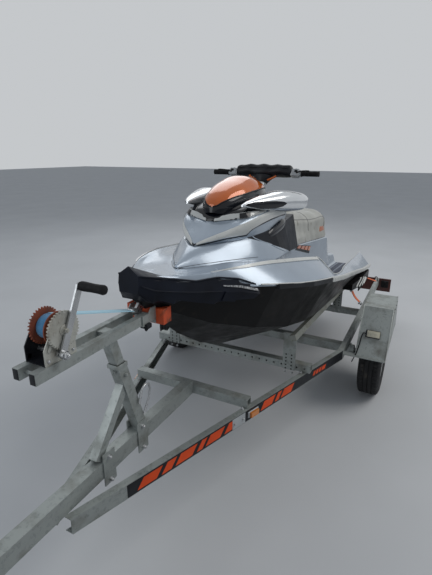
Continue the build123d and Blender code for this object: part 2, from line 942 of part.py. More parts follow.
with BuildPart() as ride_plate:
    with BuildSketch(craft_level(plate_low_z)):
        with Locations(((plate_rear_x + plate_front_x) / 2, 0)):
            Rectangle(plate_front_x - plate_rear_x, 2 * tunnel_half)
    extrude(amount=plate_thickness)
save(ride_plate.part, "ride_plate")

grate_slot_length = tunnel_front_x - plate_front_x - 2 * plate_thickness
with BuildPart() as intake_grate:
    with BuildSketch(craft_level(plate_low_z)):
        with Locations(((plate_front_x + tunnel_front_x) / 2, 0)):
            Rectangle(tunnel_front_x - plate_front_x, 2 * tunnel_half)
            with GridLocations(0, grate_pitch, 1, grate_slots):
                Rectangle(grate_slot_length, grate_slot_width, mode=Mode.SUBTRACT)
    extrude(amount=plate_thickness)
save(intake_grate.part, "intake_grate")

# Trailer rails: open channels, web outward, in a V that turns straight at the bend
rail_rear_x = light_board_x + light_board_thickness / 2
rail_slope = (rail_outer_y - rail_front_y) / (rail_front_x - rail_bend_x)
rail_angle = atan2(rail_outer_y - rail_front_y, rail_front_x - rail_bend_x)


def rail_outline(inset, depth, way):
    """Plan outline of a strip along the rail, from inset to depth inside its outer edge."""
    lines = []
    for distance in (inset, depth):
        front_y = rail_front_y - distance / cos(rail_angle)
        bend_x = rail_bend_x + distance * (1 / cos(rail_angle) - 1) / tan(rail_angle)
        straight_y = rail_outer_y - distance
        lines.append([(rail_front_x, front_y), (bend_x, straight_y), (rail_rear_x, straight_y)])
    corners = lines[0] + lines[1][::-1]
    return [(x, way * y) for x, y in corners]


rail_parts = []
for name, way in (("rail_port", 1), ("rail_starboard", -1)):
    with BuildPart() as rail:
        with BuildSketch(level(frame_top - rail_height)):
            Polygon(*rail_outline(0, rail_flange, way), align=None)
        extrude(amount=rail_height)
        with BuildSketch(level(frame_top - rail_height + rail_wall)):
            Polygon(*rail_outline(rail_wall, 2 * rail_flange, way), align=None)
        extrude(amount=rail_height - 2 * rail_wall, mode=Mode.SUBTRACT)
    save(rail.part, name)
    rail_parts.append(rail.part)

with BuildPart() as drawbar:
    drawbar_rear_x = front_beam_x + beam_size / 2
    with BuildSketch(station(drawbar_rear_x)):
        with Locations((0, frame_top + drawbar_height / 2)):
            Rectangle(drawbar_width, drawbar_height)
            Rectangle(drawbar_width - 2 * drawbar_wall, drawbar_height - 2 * drawbar_wall, mode=Mode.SUBTRACT)
    extrude(amount=drawbar_front_x - drawbar_rear_x)
save(drawbar.part, "drawbar")
drawbar_top = frame_top + drawbar_height

# Cross beams. Columns: x, bottom z, half length.
rail_bottom = frame_top - rail_height
beam_table = [
    ("front_beam", front_beam_x, frame_top, front_beam_half),
    ("middle_beam", middle_beam_x, frame_top, middle_beam_half),
    ("rear_beam", rear_beam_x, rail_bottom - beam_size, rear_beam_half),
]
for name, x, bottom, half in beam_table:
    with BuildPart() as beam:
        with BuildSketch(side(-half)):
            with Locations((x, bottom + beam_size / 2)):
                Rectangle(beam_size, beam_size)
                Rectangle(beam_size - 2 * beam_wall, beam_size - 2 * beam_wall, mode=Mode.SUBTRACT)
        extrude(amount=-2 * half)
        if name == "middle_beam":
            with BuildSketch(station(x - beam_size)):
                with Locations((0, bottom + beam_size / 2)):
                    with GridLocations(beam_hole_pitch, 0, int(2 * half / beam_hole_pitch), 1):
                        Circle(beam_hole_radius)
            extrude(amount=2 * beam_size, mode=Mode.SUBTRACT)
    save(beam.part, name)

# Axle with a trailing arm and a stub at each end
with BuildPart() as axle:
    with BuildSketch(side(-arm_inner_y)):
        with Locations((axle_x, rail_bottom - axle_tube / 2)):
            Rectangle(axle_tube, axle_tube)
    extrude(amount=-2 * arm_inner_y)
    for way in (1, -1):
        with BuildSketch(side(way * arm_inner_y)):
            with Locations((0, tyre_radius)):
                Circle(arm_width / 2)
            with Locations((axle_x, rail_bottom - axle_tube / 2)):
                Circle(arm_width / 2)
            make_hull()
        extrude(amount=-way * arm_thickness)
        with BuildSketch(side(way * (arm_inner_y + arm_thickness))):
            with Locations((0, tyre_radius)):
                Circle(hub_bore_radius - stub_gap)
        extrude(amount=-way * (wheel_y - arm_inner_y - arm_thickness + stub_reach))
save(axle.part, "axle")

# Wheels. The profile lies in the plane of X and Y, and turns about the stub.
for name, way in (("port", 1), ("starboard", -1)):
    wheel_plane = Plane(origin=place(0, way * wheel_y, tyre_radius), x_dir=(1, 0, 0), z_dir=(0, 0, 1))
    wheel_axis = Axis(wheel_plane.origin, (0, 1, 0))
    disc_y = way * disc_out
    with BuildPart() as rim:
        with BuildSketch(wheel_plane):
            with Locations((rim_radius - rim_wall / 2, 0)):
                Rectangle(rim_wall, rim_width)
            with Locations((rim_radius / 2, disc_y)):
                Rectangle(rim_radius, rim_wall)
            with Locations((hub_radius / 2, way * (hub_outer + hub_inner) / 2)):
                Rectangle(hub_radius, hub_outer - hub_inner)
            with Locations((hub_bore_radius / 2, way * (stub_reach + 3 + hub_inner) / 2)):
                Rectangle(hub_bore_radius, stub_reach + 3 - hub_inner, mode=Mode.SUBTRACT)
        revolve(axis=wheel_axis)
        with BuildSketch(side(way * (wheel_y + disc_out + rim_wall))):
            with Locations((0, tyre_radius)):
                with PolarLocations(disc_hole_circle, disc_holes):
                    Circle(disc_hole_radius)
        extrude(amount=way * 3 * rim_wall, mode=Mode.SUBTRACT)
    save(rim.part, "rim_" + name)
    with BuildPart() as tyre:
        with BuildSketch(wheel_plane):
            with BuildLine():
                half = tyre_width / 2
                points = [
                    (rim_radius, -rim_width / 2), (tyre_radius - tyre_side_height, -half),
                    (tyre_radius - tyre_corner_height, -half + tyre_corner_in),
                    (tyre_radius, -half + tread_inset),
                ]
                points += [(out, -across) for out, across in reversed(points)]
                Polyline(*points, close=True)
            make_face()
        revolve(axis=wheel_axis)
    save(tyre.part, "tyre_" + name)

# Fenders: a folded sheet over each wheel with a closed outer side
fender_line = [
    (fender_foot_rear, fender_bottom), (fender_flat_rear, fender_top), (fender_flat_front, fender_top),
    (fender_foot_front, fender_bottom),
]
fender_inside = [
    (fender_foot_rear + 2 * fender_wall, fender_bottom - fender_wall),
    (fender_flat_rear + fender_wall, fender_top - fender_wall),
    (fender_flat_front - fender_wall, fender_top - fender_wall),
    (fender_foot_front - 2 * fender_wall, fender_bottom - fender_wall),
]
with BuildPart() as fenders:
    for way in (1, -1):
        with BuildSketch(side(way * fender_inner_y)):
            Polygon(*fender_line, align=None)
        extrude(amount=-way * (fender_outer_y - fender_inner_y))
        with BuildSketch(side(way * fender_inner_y)):
            Polygon(*fender_inside, align=None)
        extrude(amount=-way * (fender_outer_y - fender_inner_y - fender_wall), mode=Mode.SUBTRACT)
save(fenders.part, "fenders")

# Plates under the fenders' feet, from the rails outward
with BuildPart() as fender_brackets:
    for way in (1, -1):
        for x in (fender_foot_front, fender_foot_rear):
            with BuildSketch(level(fender_bottom - bracket_thickness)):
                with Locations((x, way * (rail_outer_y + fender_outer_y) / 2)):
                    Rectangle(bracket_width, fender_outer_y - rail_outer_y)
            extrude(amount=bracket_thickness)
save(fender_brackets.part, "fender_brackets")

# Bunks along the hull's bottom, tilted to lie flat on it, and the plates that carry them
bottom_angle = atan2(bottom_slope, 1)
with BuildPart() as bunks:
    for way in (1, -1):
        top_z = bunk_y * bottom_slope - seat_gap / cos(bottom_angle)
        with BuildSketch(craft_station(bunk_rear)):
            with Locations((way * bunk_y, top_z)):
                with Locations(Rotation(0, 0, degrees(bottom_angle) * way)):
                    Rectangle(bunk_size, bunk_size, align=(Align.CENTER, Align.MAX))
        extrude(amount=bunk_front - bunk_rear)
save(bunks.part, "bunks")

with BuildPart() as bunk_posts:
    for way in (1, -1):
        for beam_x, foot_z in ((middle_beam_x, frame_top), (rear_beam_x, rail_bottom - beam_size)):
            x = beam_x + beam_size / 2
            top = keel_height + x * sin(radians(craft_tilt)) + bunk_y * bottom_slope - bunk_post_inset
            with BuildSketch(station(x)):
                with Locations((way * bunk_post_y, (foot_z + top) / 2)):
                    Rectangle(bunk_post_width, top - foot_z)
            extrude(amount=bunk_post_thickness)
    add(bunks.part, mode=Mode.SUBTRACT)
    add(hull.part, mode=Mode.SUBTRACT)
save(bunk_posts.part, "bunk_posts")

# Clamps around the drawbar below the winch post and its brace
low_bolt_z = frame_top - clamp_bolt_radius - seat_gap
with BuildPart() as post_clamps:
    for x in (clamp_foot_x, clamp_brace_x):
        for way in (1, -1):
            with BuildSketch(side(way * drawbar_width / 2)):
                with Locations((x, (clamp_low_z + clamp_high_z) / 2)):
                    Rectangle(clamp_plate_length, clamp_high_z - clamp_low_z)
            extrude(amount=-way * clamp_wall)
        with BuildSketch(side(-drawbar_width / 2)):
            with Locations((x, low_bolt_z), (x, drawbar_top + 2 * clamp_bolt_radius)):
                Circle(clamp_bolt_radius)
        extrude(amount=-drawbar_width)
save(post_clamps.part, "post_clamps")

beam_bottom = winch_beam_top - winch_beam_height
post_run = (post_head_x - post_foot_x) / (beam_bottom - drawbar_top)


def post_x(z):
    return post_foot_x + (z - drawbar_top) * post_run


def leaning_bar(size, low_z, high_z):
    """Outline of an upright bar that follows the winch post's lean, level at both ends."""
    half = size / 2 * hypot(1, post_run)
    return [
        (post_x(low_z) - half, low_z), (post_x(low_z) + half, low_z),
        (post_x(high_z) + half, high_z), (post_x(high_z) - half, high_z),
    ]


# Winch beam: two tubes side by side, with ears that hold the bow stop in front of the stem
rail_mid = (winch_beam_gap + winch_beam_width) / 2
ear_inner_y = rail_mid + winch_beam_width / 2
with BuildPart() as winch_beam:
    for way in (1, -1):
        with BuildSketch(station(winch_beam_rear_x)):
            with Locations((way * rail_mid, winch_beam_top - winch_beam_height / 2)):
                Rectangle(winch_beam_width, winch_beam_height)
        extrude(amount=winch_beam_front_x - winch_beam_rear_x)
        with BuildSketch(side(way * ear_inner_y)):
            Polygon(
                (winch_beam_rear_x + ear_run, winch_beam_top), (ear_slope_front_x, winch_beam_top),
                (ear_slope_rear_x, ear_end_top), (stop_front_x, ear_end_top), (stop_front_x, ear_end_bottom),
                (ear_slope_front_x, beam_bottom), (winch_beam_rear_x + ear_run, beam_bottom), align=None,
            )
        extrude(amount=-way * ear_wall)
    with BuildSketch(station(stop_front_x)):
        with Locations((0, (stop_plate_low_z + stop_plate_high_z) / 2)):
            Rectangle(2 * (ear_inner_y + ear_wall), stop_plate_high_z - stop_plate_low_z)
    extrude(amount=ear_wall)
    with BuildSketch(level(beam_bottom - ear_wall)):
        with Locations((winch_beam_rear_x + ear_run / 2, 0)):
            Rectangle(ear_run, 2 * (ear_inner_y + ear_wall))
    extrude(amount=ear_wall)
    with BuildSketch(side(-rail_mid)):
        bolt_z = winch_beam_top - winch_beam_height / 2
        with Locations((post_x(bolt_z), bolt_z), (winch_beam_front_x - beam_bolt_inset, bolt_z)):
            Circle(bolt_radius)
    extrude(amount=-2 * rail_mid)
save(winch_beam.part, "winch_beam")

with BuildPart() as winch_post:
    with BuildSketch(side(-post_size / 2)):
        Polygon(*leaning_bar(post_size, drawbar_top, post_joint_z), align=None)
    extrude(amount=-post_size)
    with BuildSketch(side(-post_inner_size / 2)):
        Polygon(*leaning_bar(post_inner_size, drawbar_top, winch_beam_top - ear_wall), align=None)
    extrude(amount=-post_inner_size)
    add(post_clamps.part, mode=Mode.SUBTRACT)
    add(winch_beam.part, mode=Mode.SUBTRACT)
save(winch_post.part, "winch_post")

brace_foot = place(brace_foot_x, 0, drawbar_top + brace_foot_lift)
brace_head = place(post_x(brace_head_z), 0, brace_head_z)
brace_plane, brace_length = along(brace_foot, brace_head)
with BuildPart() as winch_brace:
    with BuildSketch(brace_plane):
        Rectangle(brace_size, brace_size)
        Rectangle(brace_size - 2 * drawbar_wall, brace_size - 2 * drawbar_wall, mode=Mode.SUBTRACT)
    extrude(amount=brace_length)
    add(winch_post.part, mode=Mode.SUBTRACT)
    add(post_clamps.part, mode=Mode.SUBTRACT)
    with BuildSketch(side(-post_size)):
        with Locations((brace_foot_x, drawbar_top - brace_size / 2)):
            Rectangle(3 * brace_size, brace_size)
    extrude(amount=-2 * post_size, mode=Mode.SUBTRACT)
save(winch_brace.part, "winch_brace")

# Bow stop: a block below the stem, cut to its V, against the ears and their cross plate
with BuildPart() as bow_stop:
    with BuildSketch(station(stop_rear_x)):
        with Locations((0, (stop_low_z + stop_high_z) / 2)):
            Rectangle(2 * stop_half, stop_high_z - stop_low_z)
    extrude(amount=stop_front_x - stop_rear_x)
    add(hull.part, mode=Mode.SUBTRACT)
save(bow_stop.part, "bow_stop")

# Winch: side plates on the winch beam, joined by a base plate
mesh_run = gear_radius + pinion_radius + mesh_gap
crank_x = drum_x + mesh_run * cos(radians(mesh_angle))
crank_z = drum_z + mesh_run * sin(radians(mesh_angle))
with BuildPart() as winch_frame:
    for way in (1, -1):
        with BuildSketch(side(way * plate_inner_y)):
            Polygon(
                (winch_rear_x, winch_beam_top), (winch_front_x, winch_beam_top),
                (winch_front_x, drum_z - winch_front_drop), (drum_x + winch_top_half, winch_top),
                (drum_x - winch_top_half, winch_top), (winch_rear_x, drum_z - winch_rear_drop), align=None,
            )
            with Locations((drum_x, drum_z)):
                Circle(drum_shaft_radius + shaft_gap, mode=Mode.SUBTRACT)
            with Locations((crank_x, crank_z)):
                Circle(crank_shaft_radius + shaft_gap, mode=Mode.SUBTRACT)
        extrude(amount=-way * winch_plate)
    with BuildSketch(side(-plate_inner_y)):
        with Locations(((winch_rear_x + winch_front_x) / 2, winch_beam_top + winch_plate / 2)):
            Rectangle(winch_front_x - winch_rear_x, winch_plate)
    extrude(amount=-2 * plate_inner_y)
save(winch_frame.part, "winch_frame")


def round_bar(x, z, radius, from_y, to_y):
    """Round bar along Y at a point of the trailer's side view."""
    with BuildPart() as bar:
        with BuildSketch(side(from_y)):
            with Locations((x, z)):
                Circle(radius)
        extrude(amount=from_y - to_y)
    return bar.part


shaft_end_y = gear_inner_y + gear_width
with BuildPart() as winch_drum:
    add(round_bar(drum_x, drum_z, drum_core_radius, -drum_half, drum_half))
    add(round_bar(drum_x, drum_z, drum_shaft_radius, -plate_inner_y - winch_plate, shaft_end_y))
    for way in (1, -1):
        add(round_bar(drum_x, drum_z, flange_radius, way * drum_half, way * (drum_half + flange_thickness)))
    with BuildSketch(side(gear_inner_y)):
        with Locations((drum_x, drum_z)):
            Circle(gear_radius)
            with PolarLocations(gear_radius, gear_teeth):
                Rectangle(2 * tooth_depth, tooth_gap, mode=Mode.SUBTRACT)
    extrude(amount=-gear_width)
save(winch_drum.part, "winch_drum")

with BuildPart() as strap_roll:
    with BuildSketch(side(-strap_width / 2)):
        with Locations((drum_x, drum_z)):
            Circle(strap_roll_radius)
            Circle(drum_core_radius, mode=Mode.SUBTRACT)
    extrude(amount=-strap_width)
save(strap_roll.part, "strap_roll")

crank_end_x = crank_x + crank_length * cos(radians(crank_angle))
crank_end_z = crank_z + crank_length * sin(radians(crank_angle))
crank_outer_y = crank_inner_y + crank_thickness
with BuildPart() as winch_crank:
    add(round_bar(
        crank_x, crank_z, crank_shaft_radius, -plate_inner_y - winch_plate, crank_outer_y + crank_end
    ))
    add(round_bar(crank_x, crank_z, pinion_radius, gear_inner_y, shaft_end_y))
    add(round_bar(
        crank_x, crank_z, crank_shaft_radius + crank_nut_wall, crank_outer_y, crank_outer_y + crank_nut_height
    ))
    with BuildSketch(side(crank_inner_y)):
        with Locations((crank_x, crank_z), (crank_end_x, crank_end_z)):
            Circle(crank_width / 2)
        make_hull()
    extrude(amount=-crank_thickness)
    add(round_bar(crank_end_x, crank_end_z, grip_radius, crank_outer_y, crank_outer_y + grip_length))
save(winch_crank.part, "winch_crank")

# Strap from the top of the roll to a shackle in the bow eye
eye = bow_eye_centre
roll_centre = place(drum_x, 0, drum_z)
tangent_radius = strap_roll_radius + seat_gap + strap_thickness / 2
gap_x = eye.X - roll_centre.X
gap_z = eye.Z - roll_centre.Z
tangent_angle = atan2(gap_z, gap_x) % (2 * pi) - acos(tangent_radius / hypot(gap_x, gap_z))
strap_start = roll_centre + Vector(cos(tangent_angle), 0, sin(tangent_angle)) * tangent_radius
strap_way = (strap_start - eye).normalized()
strap_plane = Plane(origin=eye, x_dir=port, z_dir=strap_way)
shackle_out = shackle_inner + shackle_wall
with BuildPart() as bow_shackle:
    for way in (1, -1):
        with BuildSketch(Plane(origin=eye + port * way * shackle_inner, x_dir=strap_way, z_dir=port * way)):
            with Locations((shackle_length / 2, 0)):
                SlotOverall(shackle_length + eye_radius, eye_radius)
        extrude(amount=shackle_wall)
    with BuildSketch(Plane(origin=eye - port * shackle_out, x_dir=strap_way, z_dir=port)):
        Circle(eye_hole_radius - seat_gap)
        with Locations((shackle_length, 0)):
            Circle(eye_hole_radius - seat_gap)
    extrude(amount=2 * shackle_out)
save(bow_shackle.part, "bow_shackle")

strap_end = shackle_length + eye_hole_radius
with BuildPart() as winch_strap:
    with BuildSketch(strap_plane.offset(strap_end)):
        Rectangle(strap_width, strap_thickness)
    extrude(amount=(strap_start - eye).length - strap_end)
    add(bow_shackle.part, mode=Mode.SUBTRACT)
save(winch_strap.part, "winch_strap")

# Straps from the lower edges of the stern eyes down to the rails
with BuildPart() as stern_straps:
    for centre, outward in eye_places[1:]:
        way = 1 if centre.Y > 0 else -1
        top = centre - upward * (eye_radius - seat_depth)
        foot = place(stern_strap_x, way * (rail_outer_y - rail_flange / 2), frame_top)
        plane, run = along(top, foot, facing=(1, 0, 0))
        with BuildSketch(plane):
            Rectangle(tie_width, tie_thickness)
        extrude(amount=run)
    add(tow_eyes.part, mode=Mode.SUBTRACT)
    add(rail_parts[0], mode=Mode.SUBTRACT)
    add(rail_parts[1], mode=Mode.SUBTRACT)
save(stern_straps.part, "stern_straps")

# Coupling on the drawbar's front end. Columns of its handle's outline: x from the drawbar's end,
# z above the coupling's plate.
handle_line = [(-60, 0), (62, 0), (52, 22), (-20, 34), (-110, 42), (-110, 30)]
ball_x = drawbar_front_x + coupling_reach - coupling_radius
with BuildPart() as coupling:
    with BuildSketch(level(drawbar_top)):
        with Locations(((drawbar_front_x - coupling_length + ball_x) / 2, 0)):
            Rectangle(ball_x - drawbar_front_x + coupling_length, drawbar_width)
    extrude(amount=coupling_plate)
    with BuildSketch(level(coupling_low_z)):
        with Locations(((drawbar_front_x + ball_x) / 2, 0)):
            Rectangle(ball_x - drawbar_front_x, drawbar_width)
    extrude(amount=drawbar_top - coupling_low_z)
    with BuildSketch(level(coupling_low_z)):
        with Locations((ball_x, 0)):
            Circle(coupling_radius)
    extrude(amount=drawbar_top + coupling_plate - coupling_low_z)
    with BuildSketch(side(-handle_width / 2)):
        Polygon(
            *[(drawbar_front_x + x, drawbar_top + coupling_plate + z) for x, z in handle_line], align=None,
        )
    extrude(amount=-handle_width)
    with BuildSketch(level(coupling_low_z)):
        with Locations((ball_x, 0)):
            Circle(ball_radius)
    extrude(amount=ball_seat_depth, mode=Mode.SUBTRACT)
save(coupling.part, "coupling")

# Jockey wheel
tube_inner = jockey_tube_radius - jockey_tube_wall


def jockey_level(z):
    return Plane(origin=place(jockey_x, jockey_y, z), x_dir=(1, 0, 0), z_dir=(0, 0, 1))


jockey_handle_z = jockey_tube_top + jockey_crown + jockey_pin_height
with BuildPart() as jockey_tube:
    with BuildSketch(jockey_level(jockey_tube_bottom)):
        Circle(jockey_tube_radius)
    extrude(amount=jockey_tube_top - jockey_tube_bottom)
    with BuildSketch(jockey_level(clamp_bottom)):
        with Locations((0, -(jockey_y + drawbar_width / 2) / 2 - clamp_lip / 2)):
            Rectangle(clamp_length, -jockey_y - drawbar_width / 2 + clamp_lip)
    extrude(amount=clamp_height)
    with BuildSketch(jockey_level(jockey_tube_bottom)):
        Circle(tube_inner)
    extrude(amount=jockey_tube_top - jockey_tube_bottom, mode=Mode.SUBTRACT)
    with BuildSketch(jockey_level(jockey_tube_top)):
        Circle(jockey_tube_radius)
    extrude(amount=jockey_crown)
    with BuildSketch(jockey_level(jockey_tube_top + jockey_crown)):
        Circle(jockey_pin_radius)
    extrude(amount=jockey_pin_height)
    with BuildSketch(jockey_level(jockey_handle_z)):
        with Locations((jockey_handle / 2, 0)):
            SlotOverall(jockey_handle + jockey_handle_width, jockey_handle_width)
    extrude(amount=jockey_handle_wall)
    with BuildSketch(jockey_level(jockey_handle_z + jockey_handle_wall)):
        with Locations((jockey_handle, 0)):
            Circle(jockey_knob_radius)
    extrude(amount=jockey_knob_height)
save(jockey_tube.part, "jockey_tube")

crown_top = jockey_crown_z + jockey_crown
with BuildPart() as jockey_leg:
    with BuildSketch(jockey_level(crown_top + seat_gap)):
        Circle(tube_inner - jockey_leg_gap)
    extrude(amount=jockey_leg_length)
    with BuildSketch(jockey_level(crown_top + seat_gap)):
        Circle(jockey_spigot_radius + pin_gap)
    extrude(amount=jockey_spigot_length, mode=Mode.SUBTRACT)
save(jockey_leg.part, "jockey_leg")

fork_inner = jockey_wheel_width / 2 + jockey_fork_gap
fork_outer = fork_inner + jockey_fork_wall
fork_x = jockey_x - jockey_trail
with BuildPart() as jockey_fork:
    with BuildSketch(jockey_level(jockey_crown_z)):
        with Locations((-jockey_trail / 2, 0)):
            Rectangle(jockey_trail + 2 * jockey_tube_radius, 2 * fork_outer)
    extrude(amount=jockey_crown)
    with BuildSketch(jockey_level(crown_top)):
        Circle(jockey_spigot_radius)
    extrude(amount=jockey_spigot_length - 2)
    for way in (1, -1):
        with BuildSketch(side(jockey_y + way * fork_inner)):
            with Locations((fork_x, jockey_wheel_radius)):
                Circle(2 * jockey_pin_radius)
            with Locations((jockey_x - jockey_trail / 2, crown_top - jockey_crown / 2)):
                Rectangle(jockey_trail + 2 * jockey_tube_radius, jockey_crown)
            make_hull()
        extrude(amount=-way * jockey_fork_wall)
    add(round_bar(
        fork_x, jockey_wheel_radius, jockey_pin_radius, jockey_y - fork_outer, jockey_y + fork_outer
    ))
save(jockey_fork.part, "jockey_fork")

with BuildPart() as jockey_wheel:
    with BuildSketch(side(jockey_y - jockey_wheel_width / 2)):
        with Locations((fork_x, jockey_wheel_radius)):
            Circle(jockey_wheel_radius)
    extrude(amount=-jockey_wheel_width)
    fillet(jockey_wheel.edges().filter_by(GeomType.CIRCLE), jockey_wheel_edge)
    with BuildSketch(side(jockey_y - jockey_wheel_width)):
        with Locations((fork_x, jockey_wheel_radius)):
            Circle(jockey_pin_radius + pin_gap)
    extrude(amount=-2 * jockey_wheel_width, mode=Mode.SUBTRACT)
save(jockey_wheel.part, "jockey_wheel")

# Light board across the rails' rear ends, with a lamp near each end
with BuildPart() as light_board:
    with BuildSketch(station(rail_rear_x - light_board_thickness)):
        with Locations((0, light_board_bottom + light_board_height / 2)):
            Rectangle(2 * light_board_half, light_board_height)
    extrude(amount=light_board_thickness)
save(light_board.part, "light_board")

with BuildPart() as rear_lamps:
    with BuildSketch(station(rear_tip_x)):
        with Locations((0, light_board_bottom + light_board_height / 2)):
            with GridLocations(2 * light_board_half - lamp_width - 2 * lamp_inset, 0, 2, 1):
                Rectangle(lamp_width, lamp_height)
    extrude(amount=lamp_depth)
save(rear_lamps.part, "rear_lamps")

# Small lamps: amber ones on the rails' outer sides, white ones on the fenders' front slopes
fender_slope = atan2(fender_top - fender_bottom, fender_foot_front - fender_flat_front)
with BuildPart() as marker_lamps:
    for way in (1, -1):
        marker_y = rail_front_y + (rail_front_x - marker_x) * rail_slope
        with BuildSketch(Plane(
            origin=place(marker_x, way * marker_y, frame_top - rail_height / 2),
            x_dir=(cos(rail_angle), -way * sin(rail_angle), 0),
            z_dir=(sin(rail_angle), way * cos(rail_angle), 0),
        )):
            Rectangle(marker_length, marker_height)
        extrude(amount=marker_depth)
        with BuildSketch(Plane(
            origin=place(fender_lamp_x, way * fender_lamp_y,
                         fender_top - (fender_lamp_x - fender_flat_front) * tan(fender_slope)),
            x_dir=(0, 1, 0), z_dir=(sin(fender_slope), 0, cos(fender_slope)),
        )):
            Rectangle(fender_lamp_length, fender_lamp_height)
        extrude(amount=marker_depth)
save(marker_lamps.part, "marker_lamps")
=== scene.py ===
"""Looks of the personal watercraft on its road trailer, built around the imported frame."""

import math

import bmesh
import bpy
from mathutils import Matrix, Vector
from mathutils.bvhtree import BVHTree


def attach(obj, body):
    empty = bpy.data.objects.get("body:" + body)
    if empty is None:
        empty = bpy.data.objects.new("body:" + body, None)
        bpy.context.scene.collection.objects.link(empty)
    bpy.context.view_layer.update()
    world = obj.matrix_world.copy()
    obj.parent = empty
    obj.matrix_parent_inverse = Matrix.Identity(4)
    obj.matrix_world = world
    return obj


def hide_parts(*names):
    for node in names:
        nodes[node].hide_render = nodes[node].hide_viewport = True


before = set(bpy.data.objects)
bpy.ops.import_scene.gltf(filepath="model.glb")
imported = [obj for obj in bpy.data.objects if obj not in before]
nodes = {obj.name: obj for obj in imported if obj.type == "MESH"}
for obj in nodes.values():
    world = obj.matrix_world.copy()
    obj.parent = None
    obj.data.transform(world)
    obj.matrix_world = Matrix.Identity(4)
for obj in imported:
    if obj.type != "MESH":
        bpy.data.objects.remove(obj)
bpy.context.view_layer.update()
TRAILER = "craft_and_trailer"

# Frames: the trailer's X starts at the axle, the craft's frame is tipped bow-up on the bunks
ORIGIN_X = -0.7855
CRAFT_TILT = math.radians(4.5)
KEEL_HEIGHT = 0.481
FORWARD = Vector((math.cos(CRAFT_TILT), 0, math.sin(CRAFT_TILT)))
UPWARD = Vector((-math.sin(CRAFT_TILT), 0, math.cos(CRAFT_TILT)))
AHEAD, PORT, UP = (Vector(axis) for axis in ((1, 0, 0), (0, 1, 0), (0, 0, 1)))
WORLD_AXES = (AHEAD, PORT, UP)
BOTH = (1, -1)


def trailer(x, y=0.0, z=0.0):
    """World point of a trailer point in millimetres."""
    return Vector((ORIGIN_X + x / 1000, y / 1000, z / 1000))


def craft(x, y=0.0, z=0.0):
    """World point of a craft point in millimetres."""
    base = Vector((ORIGIN_X, 0, KEEL_HEIGHT))
    return base + FORWARD * (x / 1000) + PORT * (y / 1000) + UPWARD * (z / 1000)


# Materials
def node_tree(name):
    mat = bpy.data.materials.new(name)
    mat.use_nodes = True
    nt = mat.node_tree
    return mat, nt, nt.nodes["Principled BSDF"]


def texture(nt, kind, scale, detail=4.0):
    """Noise or another texture read at object coordinates; returns its node."""
    where = nt.nodes.new("ShaderNodeTexCoord")
    tex = nt.nodes.new(kind)
    tex.inputs["Scale"].default_value = scale
    tex.inputs["Detail"].default_value = detail
    nt.links.new(where.outputs["Object"], tex.inputs["Vector"])
    return tex


def ramp(nt, source, stops):
    """Colour ramp from (position, colour) stops, driven by a socket."""
    node = nt.nodes.new("ShaderNodeValToRGB")
    elements = node.color_ramp.elements
    for k, (position, colour) in enumerate(stops):
        element = elements[k] if k < 2 else elements.new(position)
        element.position = position
        element.color = (*colour, 1) if len(colour) == 3 else colour
    nt.links.new(source, node.inputs["Fac"])
    return node


def grey(value):
    return (value, value, value)


def mixed(nt, factor, first, second):
    """Mixes two colours, each a tuple or a socket."""
    node = nt.nodes.new("ShaderNodeMix")
    node.data_type = "RGBA"
    nt.links.new(factor, node.inputs[0])
    for value, socket in ((first, node.inputs[6]), (second, node.inputs[7])):
        if isinstance(value, tuple):
            socket.default_value = (*value, 1)
        else:
            nt.links.new(value, socket)
    return node.outputs[2]


def bump(nt, bsdf, height, strength=0.2, distance=0.002):
    node = nt.nodes.new("ShaderNodeBump")
    node.inputs["Strength"].default_value = strength
    node.inputs["Distance"].default_value = distance
    nt.links.new(height, node.inputs["Height"])
    previous = bsdf.inputs["Normal"].links
    if previous:
        nt.links.new(previous[0].from_socket, node.inputs["Normal"])
    nt.links.new(node.outputs["Normal"], bsdf.inputs["Normal"])


def surface(name, light, dark, rough, metal, coat, scale, grain=180.0, grain_strength=0.06,
            grain_depth=0.0004, spots=None, spot_share=0.62, sheen=0.0, shine=0.5):
    """Material with broad colour variation, fine grain, uneven roughness and optional dirt spots."""
    mat, nt, bsdf = node_tree(name)
    broad = texture(nt, "ShaderNodeTexNoise", scale, 5)
    colour = ramp(nt, broad.outputs["Fac"], [(0.32, dark), (0.68, light)]).outputs["Color"]
    if spots:
        patch = texture(nt, "ShaderNodeTexNoise", 14, 8)
        share = ramp(nt, patch.outputs["Fac"], [(spot_share, grey(0)), (spot_share + 0.12, grey(1))])
        colour = mixed(nt, share.outputs["Color"], colour, spots)
    nt.links.new(colour, bsdf.inputs["Base Color"])
    uneven = texture(nt, "ShaderNodeTexNoise", scale * 4, 6)
    wear = ramp(nt, uneven.outputs["Fac"], [(0.3, grey(rough[0])), (0.7, grey(rough[1]))])
    nt.links.new(wear.outputs["Color"], bsdf.inputs["Roughness"])
    bsdf.inputs["Metallic"].default_value = metal
    bsdf.inputs["Coat Weight"].default_value = coat
    bsdf.inputs["Coat Roughness"].default_value = 0.06
    bsdf.inputs["Sheen Weight"].default_value = sheen
    fine = texture(nt, "ShaderNodeTexNoise", grain, 3)
    bump(nt, bsdf, fine.outputs["Fac"], grain_strength, grain_depth)
    bsdf.inputs["Specular IOR Level"].default_value = shine
    return mat


